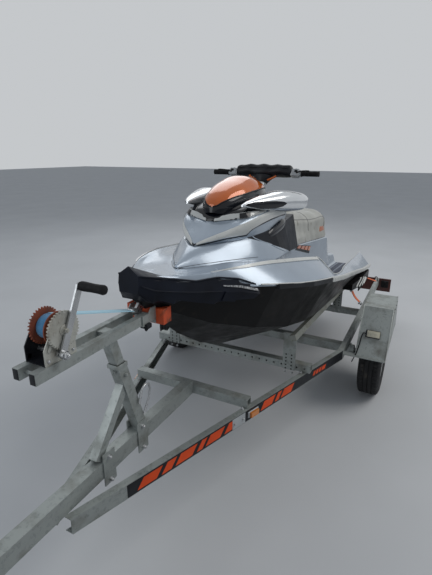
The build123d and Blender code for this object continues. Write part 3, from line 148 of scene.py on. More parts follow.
def galvanised(name, light=(0.32, 0.345, 0.335), dark=(0.20, 0.22, 0.213), spots=(0.135, 0.13, 0.108)):
    """Hot-dipped zinc: crystalline spangle, dull patches and grime."""
    mat, nt, bsdf = node_tree(name)
    cells = texture(nt, "ShaderNodeTexVoronoi", 70)
    spangle = ramp(nt, cells.outputs["Color"], [(0.15, dark), (0.85, light)])
    patch = texture(nt, "ShaderNodeTexNoise", 9, 8)
    share = ramp(nt, patch.outputs["Fac"], [(0.50, grey(0)), (0.74, grey(0.75))])
    nt.links.new(mixed(nt, share.outputs["Color"], spangle.outputs["Color"], spots),
                 bsdf.inputs["Base Color"])
    dull = ramp(nt, patch.outputs["Fac"], [(0.35, grey(0.42)), (0.7, grey(0.68))])
    nt.links.new(dull.outputs["Color"], bsdf.inputs["Roughness"])
    bsdf.inputs["Metallic"].default_value = 0.55
    fine = texture(nt, "ShaderNodeTexNoise", 240, 4)
    bump(nt, bsdf, fine.outputs["Fac"], 0.12, 0.0006)
    return mat


# Each surface: light and dark colour, span of roughness, metal, coat, scale of the variation, then the
# grain's scale, strength and depth
MATERIALS = {
    # The silver gelcoat's colour is darkened and tinted blue-grey: real silver with painted sky reflection
    # and painted shade
    "silver": surface("silver_gelcoat_painted_sky", (0.37, 0.43, 0.50), (0.30, 0.355, 0.42), (0.18, 0.28),
                      0.35, 0.5, 2.5, 900, 0.03, 0.0002),
    "pale": surface("pale_trim", (0.62, 0.625, 0.60), (0.50, 0.51, 0.49), (0.26, 0.40), 0.1, 0.5, 5),
    "hull": surface("hull_black", (0.0075, 0.0072, 0.0072), (0.0035, 0.0035, 0.004), (0.34, 0.55),
                    0, 0.05, 4, spots=(0.024, 0.019, 0.014), spot_share=0.62, shine=0.12),
    "bumper": surface("bumper_rubber", (0.010, 0.013, 0.022), (0.004, 0.005, 0.009), (0.36, 0.56),
                      0, 0, 8, 500, 0.15, shine=0.14),
    "gloss": surface("gloss_black", (0.008, 0.010, 0.015), (0.004, 0.005, 0.008), (0.10, 0.22),
                     0, 0.5, 3, 700, 0.02, 0.0001, shine=0.15),
    "satin": surface("satin_black", (0.015, 0.017, 0.021), (0.007, 0.008, 0.010), (0.36, 0.55),
                     0, 0.05, 9, 600, 0.12, shine=0.2),
    "satin_console": surface("console_black", (0.010, 0.013, 0.020), (0.004, 0.005, 0.008), (0.30, 0.45),
                             0, 0, 5, 600, 0.08, shine=0.1),
    "speckled": surface("speckled_silver", (0.50, 0.51, 0.52), (0.06, 0.06, 0.065), (0.35, 0.6),
                        0.3, 0, 120, 500, 0.3),
    "stripe": surface("stripe_orange", (0.78, 0.085, 0.014), (0.60, 0.06, 0.010), (0.35, 0.5),
                      0, 0, 9, 400, 0.1, shine=0.2),
    "orange": surface("gloss_orange", (0.66, 0.150, 0.012), (0.50, 0.098, 0.008), (0.08, 0.18),
                      0.15, 0.8, 3, 800, 0.02, 0.0001, shine=0.25),
    "stop": surface("bow_stop_orange", (0.62, 0.085, 0.018), (0.42, 0.05, 0.012), (0.45, 0.7),
                    0, 0, 12, 260, 0.2, spots=(0.10, 0.04, 0.02), spot_share=0.6),
    "seat": surface("seat_vinyl", (0.42, 0.42, 0.385), (0.28, 0.28, 0.25), (0.30, 0.46),
                    0, 0.15, 7, 420, 0.25, 0.0005, spots=(0.20, 0.185, 0.15), spot_share=0.6),
    "seat_dark": surface("seat_vinyl_dark", (0.030, 0.031, 0.034), (0.018, 0.019, 0.021), (0.45, 0.62),
                         0, 0, 9, 420, 0.3, 0.0006, sheen=0.2),
    "zinc": galvanised("galvanised_steel"),
    # Lighter copy of the galvanised steel for the winch's port side: real zinc with painted sunlight
    "zinc_painted_lit": galvanised("galvanised_painted_lit", (0.46, 0.46, 0.42), (0.29, 0.29, 0.26),
                              (0.17, 0.13, 0.08)),
    # Darker copy of the galvanised steel: painted shade for the bunks under the hull
    "zinc_painted_shade": galvanised("galvanised_painted_shade", (0.25, 0.26, 0.235), (0.155, 0.165, 0.14),
                             (0.10, 0.088, 0.062)),
    "steel": surface("bright_steel", (0.52, 0.53, 0.54), (0.40, 0.41, 0.42), (0.2, 0.42),
                     0.9, 0, 14, 300, 0.08, spots=(0.30, 0.24, 0.18), spot_share=0.7),
    "rust": surface("rusty_red", (0.30, 0.075, 0.035), (0.16, 0.045, 0.025), (0.6, 0.85),
                    0.15, 0, 22, 240, 0.4, 0.001, spots=(0.06, 0.03, 0.022)),
    "rubber": surface("tyre_rubber", (0.021, 0.021, 0.022), (0.012, 0.012, 0.013), (0.62, 0.85),
                      0, 0, 14, 260, 0.2, 0.0008, spots=(0.050, 0.045, 0.038), spot_share=0.6, shine=0.25),
    "rim": surface("rim_paint", (0.42, 0.43, 0.44), (0.34, 0.35, 0.36), (0.3, 0.5),
                   0.7, 0, 10, spots=(0.16, 0.13, 0.10), spot_share=0.66),
    "board": surface("board_red_brown", (0.115, 0.030, 0.022), (0.070, 0.020, 0.016), (0.4, 0.62),
                     0, 0.1, 7, spots=(0.16, 0.13, 0.11), spot_share=0.68),
    "amber": surface("amber_lens", (0.62, 0.20, 0.02), (0.50, 0.14, 0.012), (0.14, 0.26), 0, 0.8, 10),
    "cream": surface("cream_lens", (0.62, 0.58, 0.44), (0.50, 0.47, 0.36), (0.2, 0.34), 0, 0.7, 10),
    "red": surface("red_lens", (0.42, 0.015, 0.012), (0.30, 0.010, 0.010), (0.14, 0.26), 0, 0.8, 10),
    "pale_grey": surface("pale_grey_plastic", (0.42, 0.44, 0.45), (0.34, 0.36, 0.37), (0.42, 0.6),
                         0, 0, 8, spots=(0.16, 0.15, 0.13), spot_share=0.68),
    "engine": surface("engine_cast", (0.20, 0.21, 0.22), (0.12, 0.13, 0.14), (0.5, 0.7),
                      0.6, 0, 14, 120, 0.3),
    "cast": surface("pump_alloy", (0.42, 0.43, 0.44), (0.30, 0.31, 0.32), (0.35, 0.55),
                    0.85, 0, 12, 160, 0.25),
    "grip": surface("grip_rubber", (0.011, 0.011, 0.012), (0.006, 0.006, 0.007), (0.55, 0.75),
                    0, 0, 14, 500, 0.3, shine=0.2),
    "chrome": surface("mirror_bright", (0.74, 0.76, 0.78), (0.68, 0.70, 0.72), (0.10, 0.2), 0.6, 0.8, 4),
}

# Webbing: the breadth of one rib of the weave in metres, and the texture's scale that gives it
THREAD = 0.0022
WEAVE_SCALE = 1 / THREAD / 6


def woven(name, warp, weft):
    """Webbing: fine ribs along and across its length."""
    mat, nt, bsdf = node_tree(name)
    wave = texture(nt, "ShaderNodeTexWave", WEAVE_SCALE, 1)
    wave.bands_direction = "Y"
    ribs = texture(nt, "ShaderNodeTexWave", WEAVE_SCALE, 1)
    ribs.bands_direction = "X"
    colour = ramp(nt, wave.outputs["Fac"], [(0.3, weft), (0.7, warp)])
    nt.links.new(colour.outputs["Color"], bsdf.inputs["Base Color"])
    dull = ramp(nt, wave.outputs["Fac"], [(0.2, grey(0.7)), (0.8, grey(0.85))])
    nt.links.new(dull.outputs["Color"], bsdf.inputs["Roughness"])
    bsdf.inputs["Sheen Weight"].default_value = 0.3
    bump(nt, bsdf, wave.outputs["Fac"], 0.4, 0.0008)
    bump(nt, bsdf, ribs.outputs["Fac"], 0.3, 0.0006)
    return mat


MATERIALS["strap_blue"] = woven("strap_blue", (0.055, 0.25, 0.46), (0.035, 0.17, 0.34))
MATERIALS["strap_pale"] = woven("strap_pale_blue", (0.36, 0.62, 0.74), (0.26, 0.50, 0.63))
MATERIALS["strap_orange"] = woven("strap_orange", (0.78, 0.16, 0.03), (0.60, 0.10, 0.02))


def meshed_mat(name):
    """Dark foam mat crossed by pale grooves."""
    mat, nt, bsdf = node_tree(name)
    lines = []
    for way in ("X", "Y"):
        wave = texture(nt, "ShaderNodeTexWave", 5.2, 0)
        wave.bands_direction = way
        wave.inputs["Distortion"].default_value = 0
        lines.append(ramp(nt, wave.outputs["Fac"], [(0.80, grey(0)), (0.92, grey(1))]).outputs["Color"])
    both = nt.nodes.new("ShaderNodeMath")
    both.operation = "MAXIMUM"
    nt.links.new(lines[0], both.inputs[0])
    nt.links.new(lines[1], both.inputs[1])
    dirt = texture(nt, "ShaderNodeTexNoise", 14, 6)
    dark = ramp(nt, dirt.outputs["Fac"], [(0.3, (0.012, 0.015, 0.030)), (0.7, (0.035, 0.042, 0.070))])
    nt.links.new(mixed(nt, both.outputs["Value"], dark.outputs["Color"], (0.24, 0.26, 0.30)),
                 bsdf.inputs["Base Color"])
    bsdf.inputs["Roughness"].default_value = 0.85
    bump(nt, bsdf, both.outputs["Value"], 0.6, -0.002)
    return mat


MATERIALS["mat"] = meshed_mat("foam_mat")


def dress_where(material, name, test):
    """Gives a second material to the faces of a node whose middle passes a test on world metres."""
    mesh = nodes[name].data
    mesh.materials.append(MATERIALS[material])
    index = len(mesh.materials) - 1
    for polygon in mesh.polygons:
        if test(polygon.center):
            polygon.material_index = index


# Each material and the nodes of the solids that wear it
for material, names in {
    "hull": "hull sponsons",
    "silver": "deck cowl",
    "satin_console": "console",
    "bumper": "bow_bumper",
    "satin": "gunwale_strips handlebar_pad winch_frame",
    "mat": "footwell_mats",
    "engine": "engine_block",
    "steel": "tow_eyes bow_shackle winch_crank handlebar",
    "cast": "jet_pump impeller steering_nozzle reverse_bucket ride_plate intake_grate",
    "zinc": "rail_port rail_starboard drawbar front_beam middle_beam rear_beam axle fender_brackets "
            "bunk_posts post_clamps winch_post winch_brace winch_beam coupling jockey_tube jockey_leg "
            "jockey_fork fenders",
    "rubber": "tyre_port tyre_starboard jockey_wheel",
    "rim": "rim_port rim_starboard",
    "gloss": "front_hood dome_surround",
    "orange": "hood_dome",
    "chrome": "mirrors",
    "seat": "seat",
    "grip": "grips",
    "board": "light_board",
    "red": "rear_lamps",
    "amber": "marker_lamps",
    "stop": "bow_stop",
    "strap_blue": "strap_roll",
    "strap_pale": "winch_strap",
    "strap_orange": "stern_straps",
    "rust": "winch_drum",
    # The bunks wear the darker galvanised copy: painted shade under the hull
    "zinc_painted_shade": "bunks",
}.items():
    for name in names.split():
        slots = nodes[name].data.materials
        slots.clear()
        slots.append(MATERIALS[material])

# Nodes that wear a second material on some of their faces
JOCKEY_X, JOCKEY_Y = 2700, -72
ROLLER = trailer(JOCKEY_X - 38, JOCKEY_Y, 100)
# The port side of the winch drum and frame wears the lighter galvanised copy: painted sunlight
dress_where("zinc_painted_lit", "winch_drum", lambda p: p.y > 0.045)
dress_where("zinc_painted_lit", "winch_frame", lambda p: p.y > 0.040)
dress_where("grip", "winch_crank", lambda p: p.y > 0.075 and p.z > 1.25)
dress_where("cream", "marker_lamps", lambda p: p.x < trailer(400).x)
# The rear part of the gunwale strips is pale: painted highlight of the gunwale's edge
dress_where("pale", "gunwale_strips", lambda p: p.x < craft(640, 0, 480).x)
dress_where("grip", "coupling", lambda p: p.z > 0.547)
dress_where("grip", "jockey_tube", lambda p: p.z > 0.900)
dress_where("pale_grey", "jockey_wheel",
            lambda p: abs(p.y - ROLLER.y) > 0.024 and math.hypot(p.x - ROLLER.x, p.z - ROLLER.z) < 0.06)


# Mesh helpers
def piece(name, bm, material, body=TRAILER, sharp=40, extra=()):
    """Turns a bmesh into an object that rides on a body; material slots follow in order."""
    bmesh.ops.remove_doubles(bm, verts=bm.verts, dist=1e-6)
    bmesh.ops.recalc_face_normals(bm, faces=bm.faces)
    mesh = bpy.data.meshes.new(name)
    bm.to_mesh(mesh)
    bm.free()
    for key in (material, *extra):
        mesh.materials.append(MATERIALS[key])
    mesh.shade_smooth()
    mesh.set_sharp_from_angle(angle=math.radians(sharp))
    obj = bpy.data.objects.new(name, mesh)
    bpy.context.scene.collection.objects.link(obj)
    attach(obj, body)
    return obj


def turn(count):
    """Angles of a whole turn."""
    return [2 * math.pi * k / count for k in range(count)]


def fuller(wave, power):
    """Sine or cosine raised to a power with its sign kept, which fills out a round section."""
    return math.copysign(abs(wave) ** power, wave)


def ring_faces(bm, rings):
    """Quads between closed rings of points, and a face on each end."""
    grid = [[bm.verts.new(p) for p in ring] for ring in rings]
    count = len(grid[0])
    for a, b in zip(grid, grid[1:]):
        for k in range(count):
            n = (k + 1) % count
            bm.faces.new((a[k], a[n], b[n], b[k]))
    bm.faces.new(grid[0][::-1])
    bm.faces.new(grid[-1])
    return grid


def monotone(xs, ys, x):
    """Smooth value at x through the points, without overshoot."""
    n = len(xs)
    slopes = [(ys[k + 1] - ys[k]) / (xs[k + 1] - xs[k]) for k in range(n - 1)]
    tangents = [slopes[0]]
    for k in range(1, n - 1):
        a, b = slopes[k - 1], slopes[k]
        tangents.append(0 if a * b <= 0 else 2 * a * b / (a + b))
    tangents.append(slopes[-1])
    k = max(0, min(n - 2, sum(1 for value in xs[1:-1] if value <= x)))
    h = xs[k + 1] - xs[k]
    t = (x - xs[k]) / h
    return ((1 + 2 * t) * (1 - t) ** 2 * ys[k] + t * (1 - t) ** 2 * h * tangents[k]
            + t * t * (3 - 2 * t) * ys[k + 1] + t * t * (t - 1) * h * tangents[k + 1])


def rounded(points, radii, steps):
    """Open outline with each corner turned by a small curve."""
    out = []
    last = len(points) - 1
    for k, (y, z) in enumerate(points):
        if k in (0, last):
            out.append((y, z))
            continue
        here = Vector((y, z))
        before = Vector(points[k - 1]) - here
        after = Vector(points[k + 1]) - here
        reach_a = min(radii[k], before.length * 0.48)
        reach_b = min(radii[k], after.length * 0.48)
        a = here + before.normalized() * reach_a if before.length > 0 else here
        b = here + after.normalized() * reach_b if after.length > 0 else here
        for s in range(steps + 1):
            t = s / steps
            p = a * (1 - t) ** 2 + here * (2 * t * (1 - t)) + b * t * t
            out.append((p.x, p.y))
    return out


def skin(name, rows, radii, material, body=TRAILER, step=28, corner_steps=3, finish=None):
    """Smooth body through half sections (x, points) that start and end on the craft's middle."""
    rows = sorted(rows)
    xs = [row[0] for row in rows]
    curves = [rounded(row[1], radii, corner_steps) for row in rows]
    stations = []
    for a, b in zip(xs, xs[1:]):
        parts = max(2, int(abs(b - a) / step))
        stations += [a + (b - a) * k / parts for k in range(parts)]
    stations.append(xs[-1])
    bm = bmesh.new()
    rings = []
    for x in stations:
        half = [(monotone(xs, [c[k][0] for c in curves], x), monotone(xs, [c[k][1] for c in curves], x))
                for k in range(len(curves[0]))]
        full = half + [(-y, z) for y, z in half[-2:0:-1]]
        rings.append([craft(x, y, z) for y, z in full])
    ring_faces(bm, rings)
    if finish:
        finish(bm)
    return piece(name, bm, material, body, 30)


def cut(bm, place, normal):
    """Removes what lies on the normal's side of a plane and closes the cut."""
    result = bmesh.ops.bisect_plane(bm, geom=bm.verts[:] + bm.edges[:] + bm.faces[:], plane_co=place,
                                    plane_no=normal, clear_outer=True)
    edges = [g for g in result["geom_cut"] if isinstance(g, bmesh.types.BMEdge)]
    bmesh.ops.holes_fill(bm, edges=edges, sides=0)
    return edges


def tube(bm, points, radius, sides):
    """Round tube through points, with closed ends."""
    rings = []
    side_way = None
    for k, p in enumerate(points):
        a = points[max(0, k - 1)]
        b = points[min(len(points) - 1, k + 1)]
        run = (b - a).normalized()
        if side_way is None:
            side_way = run.orthogonal().normalized()
        side_way = (side_way - run * side_way.dot(run)).normalized()
        up_way = run.cross(side_way)
        rings.append([p + side_way * (radius * math.cos(t)) + up_way * (radius * math.sin(t))
                      for t in turn(sides)])
    ring_faces(bm, rings)


def block(bm, centre, axes, size, bevel):
    """Box with softened edges; axes are three unit vectors, size the full lengths."""
    made = bmesh.ops.create_cube(bm, size=1)
    basis = Matrix([[axes[c][r] * size[c] for c in range(3)] for r in range(3)]).to_4x4()
    bmesh.ops.transform(bm, matrix=Matrix.Translation(centre) @ basis, verts=made["verts"])
    edges = dict.fromkeys(e for v in made["verts"] for e in v.link_edges)
    bmesh.ops.bevel(bm, geom=list(edges), offset=bevel, segments=2, affect="EDGES", profile=0.6)


def lathe(bm, centre, axis, profile, segments):
    """Turns (along, radius) points about an axis through the centre."""
    axis = axis.normalized()
    u = axis.orthogonal().normalized()
    w = axis.cross(u)
    ring_faces(bm, [[centre + axis * along + (u * math.cos(a) + w * math.sin(a)) * radius
                     for a in turn(segments)] for along, radius in profile])


def bolt(bm, place, out, size, height, washer=True):
    """Hexagon head on a washer with a short thread end."""
    if washer:
        lathe(bm, place, out, [(0, size * 1.05), (0.002, size * 1.05), (0.002, size * 0.6)], 20)
    lathe(bm, place + out * 0.0018, out,
          [(0, size * 0.86), (height * 0.8, size * 0.86), (height, size * 0.72)], 6)
    lathe(bm, place + out * height, out,
          [(0, size * 0.42), (height * 0.5, size * 0.42), (height * 0.6, size * 0.34)], 12)


# The photograph's view
FOCAL_PIXELS = 414.73
CAMERA_PLACE = Vector((2.2661, 1.0913, 1.7475))
CAMERA_YAW = math.radians(27.42)
CAMERA_PITCH = math.radians(18.07)
LOOK = Vector((-math.cos(CAMERA_YAW) * math.cos(CAMERA_PITCH), -math.sin(CAMERA_YAW) * math.cos(CAMERA_PITCH),
               -math.sin(CAMERA_PITCH)))
RIGHT = Vector((-math.sin(CAMERA_YAW), math.cos(CAMERA_YAW), 0))
DOWN = LOOK.cross(RIGHT)


def tree_of(*objects):
    """Ray target made from objects that lie in the row frame."""
    points, polygons = [], []
    for obj in objects:
        base = len(points)
        points += [v.co.copy() for v in obj.data.vertices]
        polygons += [[base + k for k in p.vertices] for p in obj.data.polygons]
    return BVHTree.FromPolygons(points, polygons)


def seen(tree, u, v):
    """Surface point and its normal under a pixel of the photograph, or nearest to a ray that misses."""
    way = (LOOK + RIGHT * ((u - 216) / FOCAL_PIXELS) + DOWN * ((v - 287.5) / FOCAL_PIXELS)).normalized()
    hit, normal = tree.ray_cast(CAMERA_PLACE, way)[:2]
    if hit is None:
        probes = [CAMERA_PLACE + way * (1.2 + 0.05 * k) for k in range(60)]
        hit, normal = min((tree.find_nearest(probe) for probe in probes), key=lambda found: found[3])[:2]
    if normal.dot(way) > 0:
        normal = -normal
    return hit, normal


def resample(line, count):
    """Evenly spaced points along a pixel line."""
    lengths = [0]
    for a, b in zip(line, line[1:]):
        lengths.append(lengths[-1] + math.hypot(b[0] - a[0], b[1] - a[1]))
    out = []
    for k in range(count):
        want = lengths[-1] * k / (count - 1)
        j = max(0, min(len(line) - 2, sum(1 for d in lengths[1:-1] if d <= want)))
        t = (want - lengths[j]) / max(1e-9, lengths[j + 1] - lengths[j])
        out.append((line[j][0] + (line[j + 1][0] - line[j][0]) * t,
                    line[j][1] + (line[j + 1][1] - line[j][1]) * t))
    return out


# Lines on the craft in the photograph's pixels: lower and upper line of each panel, and each seam's line
PANEL_LINES = {
    "hood_lower_band": (
        ((195.5, 245.2), (205, 242.6), (225, 237.6), (246, 234.4), (251, 229.5), (262, 223),
         (272, 218), (282, 214.4), (292, 212.4)),
        ((196.5, 243.6), (205, 239.6), (225, 231.6), (246, 222.6), (254, 218.6), (262, 214.6),
         (272, 210.2), (282, 207), (292, 205))),
    "vent_port": (
        ((218, 220.9), (230, 219.7), (240, 219.2), (250, 217.4), (258, 214.8), (266, 211.8)),
        ((218.8, 218.6), (222, 216.6), (230, 214.7), (240, 213.7), (258, 211.2), (266, 210.6))),
    "vent_front": (
        ((195.4, 215.4), (201, 218.4), (206, 220.6)),
        ((195.6, 213.2), (201, 215.4), (206.6, 218.6))),
    # Dark patches in the vents: painted shade in place of the openings' insides
    "vent_hole_painted_shade": (
        ((239.6, 218.9), (245, 218.2), (249.8, 217.2)),
        ((239.6, 214.2), (245, 213.6), (249.8, 213))),
    "front_hole_painted_shade": (
        ((192.2, 216), (194, 217), (195.6, 217.6)),
        ((192.2, 212.6), (194, 213), (195.6, 213.8))),
    "wing_insert": (
        ((246, 206), (254, 207.4), (262, 208.6), (275, 208.4), (283, 206.2), (286.6, 203.8)),
        ((246.4, 204.4), (254, 202.4), (262, 201.6), (275, 201), (284, 201.6), (286.8, 203.2))),
    "seat_tail_block": (
        ((319.4, 231.4), (321.6, 230.6), (323.4, 229.6)),
        ((319.8, 226.6), (321.8, 226.2), (323.2, 225.8))),
}
SEAM_LINES = {
    "hood_gap_line": (
        (188.2, 236), (190, 240.2), (194.6, 246.3), (205, 244), (225, 239.2), (246.5, 235.4),
        (250, 231), (256, 227), (270, 220), (280, 215.6), (292, 213)),
    "inlet_frame": (
        (248.4, 233.8), (255, 238.3), (262, 241.3), (270, 243.8), (277, 247.5), (284.6, 251)),
    # Dark line under the cowl's step: painted shadow
    "cowl_step_painted_shadow": (
        (171.6, 261), (172.4, 266.4), (176, 268.2), (186, 266.6), (200, 264.2), (214, 262.4),
        (228, 260.4), (243, 258.6), (258, 257)),
}


def patch(name, tree, material, body, lift=0.0012, thick=0.0025, along=24, across=4):
    """Thin raised panel on a surface between its two pixel lines, on both sides of the craft."""
    bm = bmesh.new()
    low, high = (resample(line, along) for line in PANEL_LINES[name])
    top, under = [], []
    for a, b in zip(low, high):
        row, base = [], []
        for k in range(across + 1):
            t = k / across
            hit, normal = seen(tree, a[0] + (b[0] - a[0]) * t, a[1] + (b[1] - a[1]) * t)
            row.append(hit + normal * (lift + thick))
            base.append(hit - normal * 0.002)
        top.append(row)
        under.append(base)
    for way in BOTH:
        ring_faces(bm, [mirrored(row + base[::-1], way) for row, base in zip(top, under)])
    return piece(name, bm, material, body)


def mirrored(points, way):
    """The points, on the other side of the middle where way is -1."""
    return [Vector((p.x, way * p.y, p.z)) for p in points]


def cords(name, lines, radius, material, body=TRAILER):
    """Round cords along lines of points, on both sides."""
    bm = bmesh.new()
    for line in lines:
        for way in BOTH:
            tube(bm, mirrored(line, way), radius, 8)
    return piece(name, bm, material, body, 60)


def seam(name, tree, radius, material, body=TRAILER, sink=0.0, count=40):
    """Round cord or groove line laid on a surface under its pixel line, on both sides."""
    hits = [seen(tree, u, v) for u, v in resample(SEAM_LINES[name], count)]
    return cords(name, [[hit - normal * sink for hit, normal in hits]], radius, material, body)


def slab(name, first, second, thick, material, lift=0.0):
    """Raised band between two lines of points, on both sides."""
    bm = bmesh.new()
    rows = []
    last = len(first) - 1
    for k, (a, b) in enumerate(zip(first, second)):
        run = first[min(last, k + 1)] - first[max(0, k - 1)]
        out = (b - a).cross(run).normalized()
        if out.dot(UPWARD + PORT) < 0:
            out = -out
        rows.append([a - out * 0.002, b - out * 0.002, b + out * (lift + thick), a + out * (lift + thick)])
    for way in BOTH:
        ring_faces(bm, [mirrored(row, way) for row in rows])
    return piece(name, bm, material)


def girth(tree, x, z, degrees):
    """Points where rays from a spot on the craft's middle leave a surface, in its cross plane."""
    out = []
    for angle in degrees:
        way = PORT * math.cos(math.radians(angle)) + UPWARD * math.sin(math.radians(angle))
        hit = tree.ray_cast(craft(x, 0, z), way)[0]
        if hit:
            out.append(hit)
    return out


# Craft body. Columns: x, side y, side z, ridge y, ridge z, outer y, inner y, floor z, pedestal y,
# pedestal z, liner y, liner z
DECK_ROWS = [
    (-1360, 585, 262, 470, 394, 440, 232, 250, 205, 345, 430, 232),
    (-1060, 598, 292, 480, 395, 440, 235, 250, 205, 375, 430, 232),
    (-980, 601, 300, 484, 396, 440, 235, 250, 205, 560, 430, 232),
    (-700, 612, 330, 495, 402, 440, 235, 250, 205, 568.75, 430, 232),
    (-200, 616, 390, 530, 428, 440, 240, 250, 210, 584.375, 430, 232),
    (300, 612, 440, 580, 462, 440, 255, 262, 225, 600, 430, 232),
    (440, 607, 458, 572, 486, 438, 260, 290, 233, 604, 430, 240),
    (500, 605, 465, 486, 586, 425, 268, 350, 240, 606, 430, 260),
    (640, 600, 484, 455, 608, 410, 300, 520, 262, 610, 430, 300),
    (900, 550, 503, 385, 625, 350, 305, 612, 280, 618, 430, 390),
    (1160, 438, 525, 325, 638, 290, 230, 622, 190, 626, 348, 490),
    (1400, 275, 545, 250, 632, 215, 120, 602, 80, 608, 185, 530),
    (1500, 215, 555, 200, 625, 165, 100, 601, 60, 607, 125, 540),
    (1600, 155, 566, 140, 622, 112, 70, 612, 45, 614, 70, 551),
    (1740, 65, 586, 45, 632, 36, 24, 630, 14, 640, 29, 571),
]
DECK_SECTIONS = [
    (x, [(0, lz + 20), (ly * 0.36, lz + 20), (ly * 0.46, lz), (ly, lz), (sy - min(25, sy * 0.2), sz),
         (sy, sz), (ry, rz), (oy, fz), (iy, fz), (py, pz), (0, pz)])
    for x, sy, sz, ry, rz, oy, iy, fz, py, pz, ly, lz in DECK_ROWS
]
deck_shell = skin("deck_shell", DECK_SECTIONS, [0, 3, 3, 3, 2, 6, 16, 26, 26, 24, 0], "silver", step=24)
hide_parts("deck")

# Columns: x, low y, low z, shoulder y, shoulder z, top z
LOWER_ROWS = [
    (1430, 16, 585, 8, 620, 624), (1262, 161, 590, 62, 692, 702), (1100, 237, 595, 165, 728, 748),
    (950, 289, 595, 205, 752, 775), (700, 312, 604, 232, 785, 805), (520, 300, 615, 240, 805, 825),
    (240, 270, 600, 215, 838, 855),
]
LOWER_SECTIONS = [(x, [(0, 560), (ly, lz), (sy, sz), (0, tz)]) for x, ly, lz, sy, sz, tz in LOWER_ROWS]
HOOD_FRONT_X, HOOD_FRONT_Z, HOOD_RISE = 1262, 700, 0.13
INTAKE_X, INTAKE_Z, INTAKE_RISE = 520, 610, 0.26
HOOD_NORMAL = (UPWARD + FORWARD * HOOD_RISE).normalized()
HOOD_PLACE = craft(HOOD_FRONT_X, 0, HOOD_FRONT_Z)
INTAKE_NORMAL = (UPWARD - FORWARD * INTAKE_RISE).normalized()
INTAKE_PLACE = craft(INTAKE_X, 0, INTAKE_Z)

BIN_REAR_X, BIN_FRONT_X, BIN_HALF, BIN_FLOOR_Z = 600, 960, 150, 520


def open_bin(bm, edges):
    """Storage bin sunk into the cut face that the edges bound."""
    lid = [f for f in bm.faces if f.normal.dot(HOOD_NORMAL) > 0.98 and len(f.verts) > 20]
    bmesh.ops.delete(bm, geom=lid, context="FACES_ONLY")
    rim, foot = [], []
    corners = ((BIN_REAR_X, -BIN_HALF), (BIN_FRONT_X, -BIN_HALF),
               (BIN_FRONT_X, BIN_HALF), (BIN_REAR_X, BIN_HALF))
    for k, (x, y) in enumerate(corners):
        next_x, next_y = corners[(k + 1) % 4]
        for s in range(8):
            px, py = x + (next_x - x) * s / 8, y + (next_y - y) * s / 8
            base = craft(px, py, BIN_FLOOR_Z)
            rise = (HOOD_PLACE - base).dot(HOOD_NORMAL) / UPWARD.dot(HOOD_NORMAL)
            rim.append(bm.verts.new(base + UPWARD * rise))
            foot.append(bm.verts.new(base))
    rim_edges = []
    for k in range(len(rim)):
        n = (k + 1) % len(rim)
        bm.faces.new((rim[k], rim[n], foot[n], foot[k]))
        rim_edges.append(bm.edges.get((rim[k], rim[n])))
    bm.faces.new(foot)
    bmesh.ops.triangle_fill(bm, edges=[e for e in edges if e.is_valid] + rim_edges, use_beauty=True)


def finish_cowl(bm):
    cut(bm, INTAKE_PLACE, INTAKE_NORMAL)
    open_bin(bm, cut(bm, HOOD_PLACE, HOOD_NORMAL))


cowl_shell = skin("cowl_shell", LOWER_SECTIONS, [0, 10, 40, 0], "silver", step=22, finish=finish_cowl)
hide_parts("cowl")

# Columns: x, low y, low z, wide y, wide z, edge y, edge z, top z
HOOD_ROWS = [
    (1262, 8, 690, 8, 704, 6, 707, 710), (1160, 85, 700, 125, 746, 115, 768, 772),
    (1060, 160, 715, 195, 800, 180, 828, 832), (930, 205, 730, 240, 850, 215, 868, 880),
    (700, 230, 750, 262, 880, 225, 905, 925), (500, 230, 780, 250, 885, 215, 915, 935),
]
HOOD_SECTIONS = [(x, [(0, lz), (ly, lz), (wy, wz), (ey, ez), (0, tz)])
                 for x, ly, lz, wy, wz, ey, ez, tz in HOOD_ROWS]
hood_shell = skin("hood_shell", HOOD_SECTIONS, [0, 4, 30, 22, 0], "silver", "hood", step=16,
                  finish=lambda bm: cut(bm, HOOD_PLACE + HOOD_NORMAL * 0.0006, -HOOD_NORMAL))
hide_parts("front_hood")

# Columns: x, wide y, low z, edge y, edge z, top z
SURROUND_ROWS = [
    (1085, 34, 812, 24, 830, 834), (1010, 200, 829, 172, 880, 895), (900, 226, 850, 190, 915, 935),
    (700, 220, 882, 162, 945, 965), (500, 158, 902, 112, 965, 985),
]
SURROUND_SECTIONS = [(x, [(0, lz - 30), (wy, lz), (ey, ez), (0, tz)])
                     for x, wy, lz, ey, ez, tz in SURROUND_ROWS]
surround_shell = skin("surround_shell", SURROUND_SECTIONS, [0, 26, 44, 0], "gloss", "hood", step=14,
                      corner_steps=5)
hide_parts("dome_surround")

# Full domed cover. Columns: x, half width, low z, top z
DOME_ROWS = [
    (1074, 12, 890, 898), (1066, 40, 886, 922), (1040, 74, 886, 952), (980, 104, 893, 992),
    (840, 136, 912, 1046), (710, 140, 930, 1076), (570, 122, 942, 1063), (512, 92, 953, 1034),
    (498, 62, 958, 1006),
]
DOME_FULLNESS = 2.5
# Height of the line where the orange cover meets its dark base. Columns: x, z
DOME_PARTING = [(498, 1000), (577, 1007), (772, 990), (940, 961), (990, 949), (1050, 924), (1074, 899)]
BASE_STEPS = 7


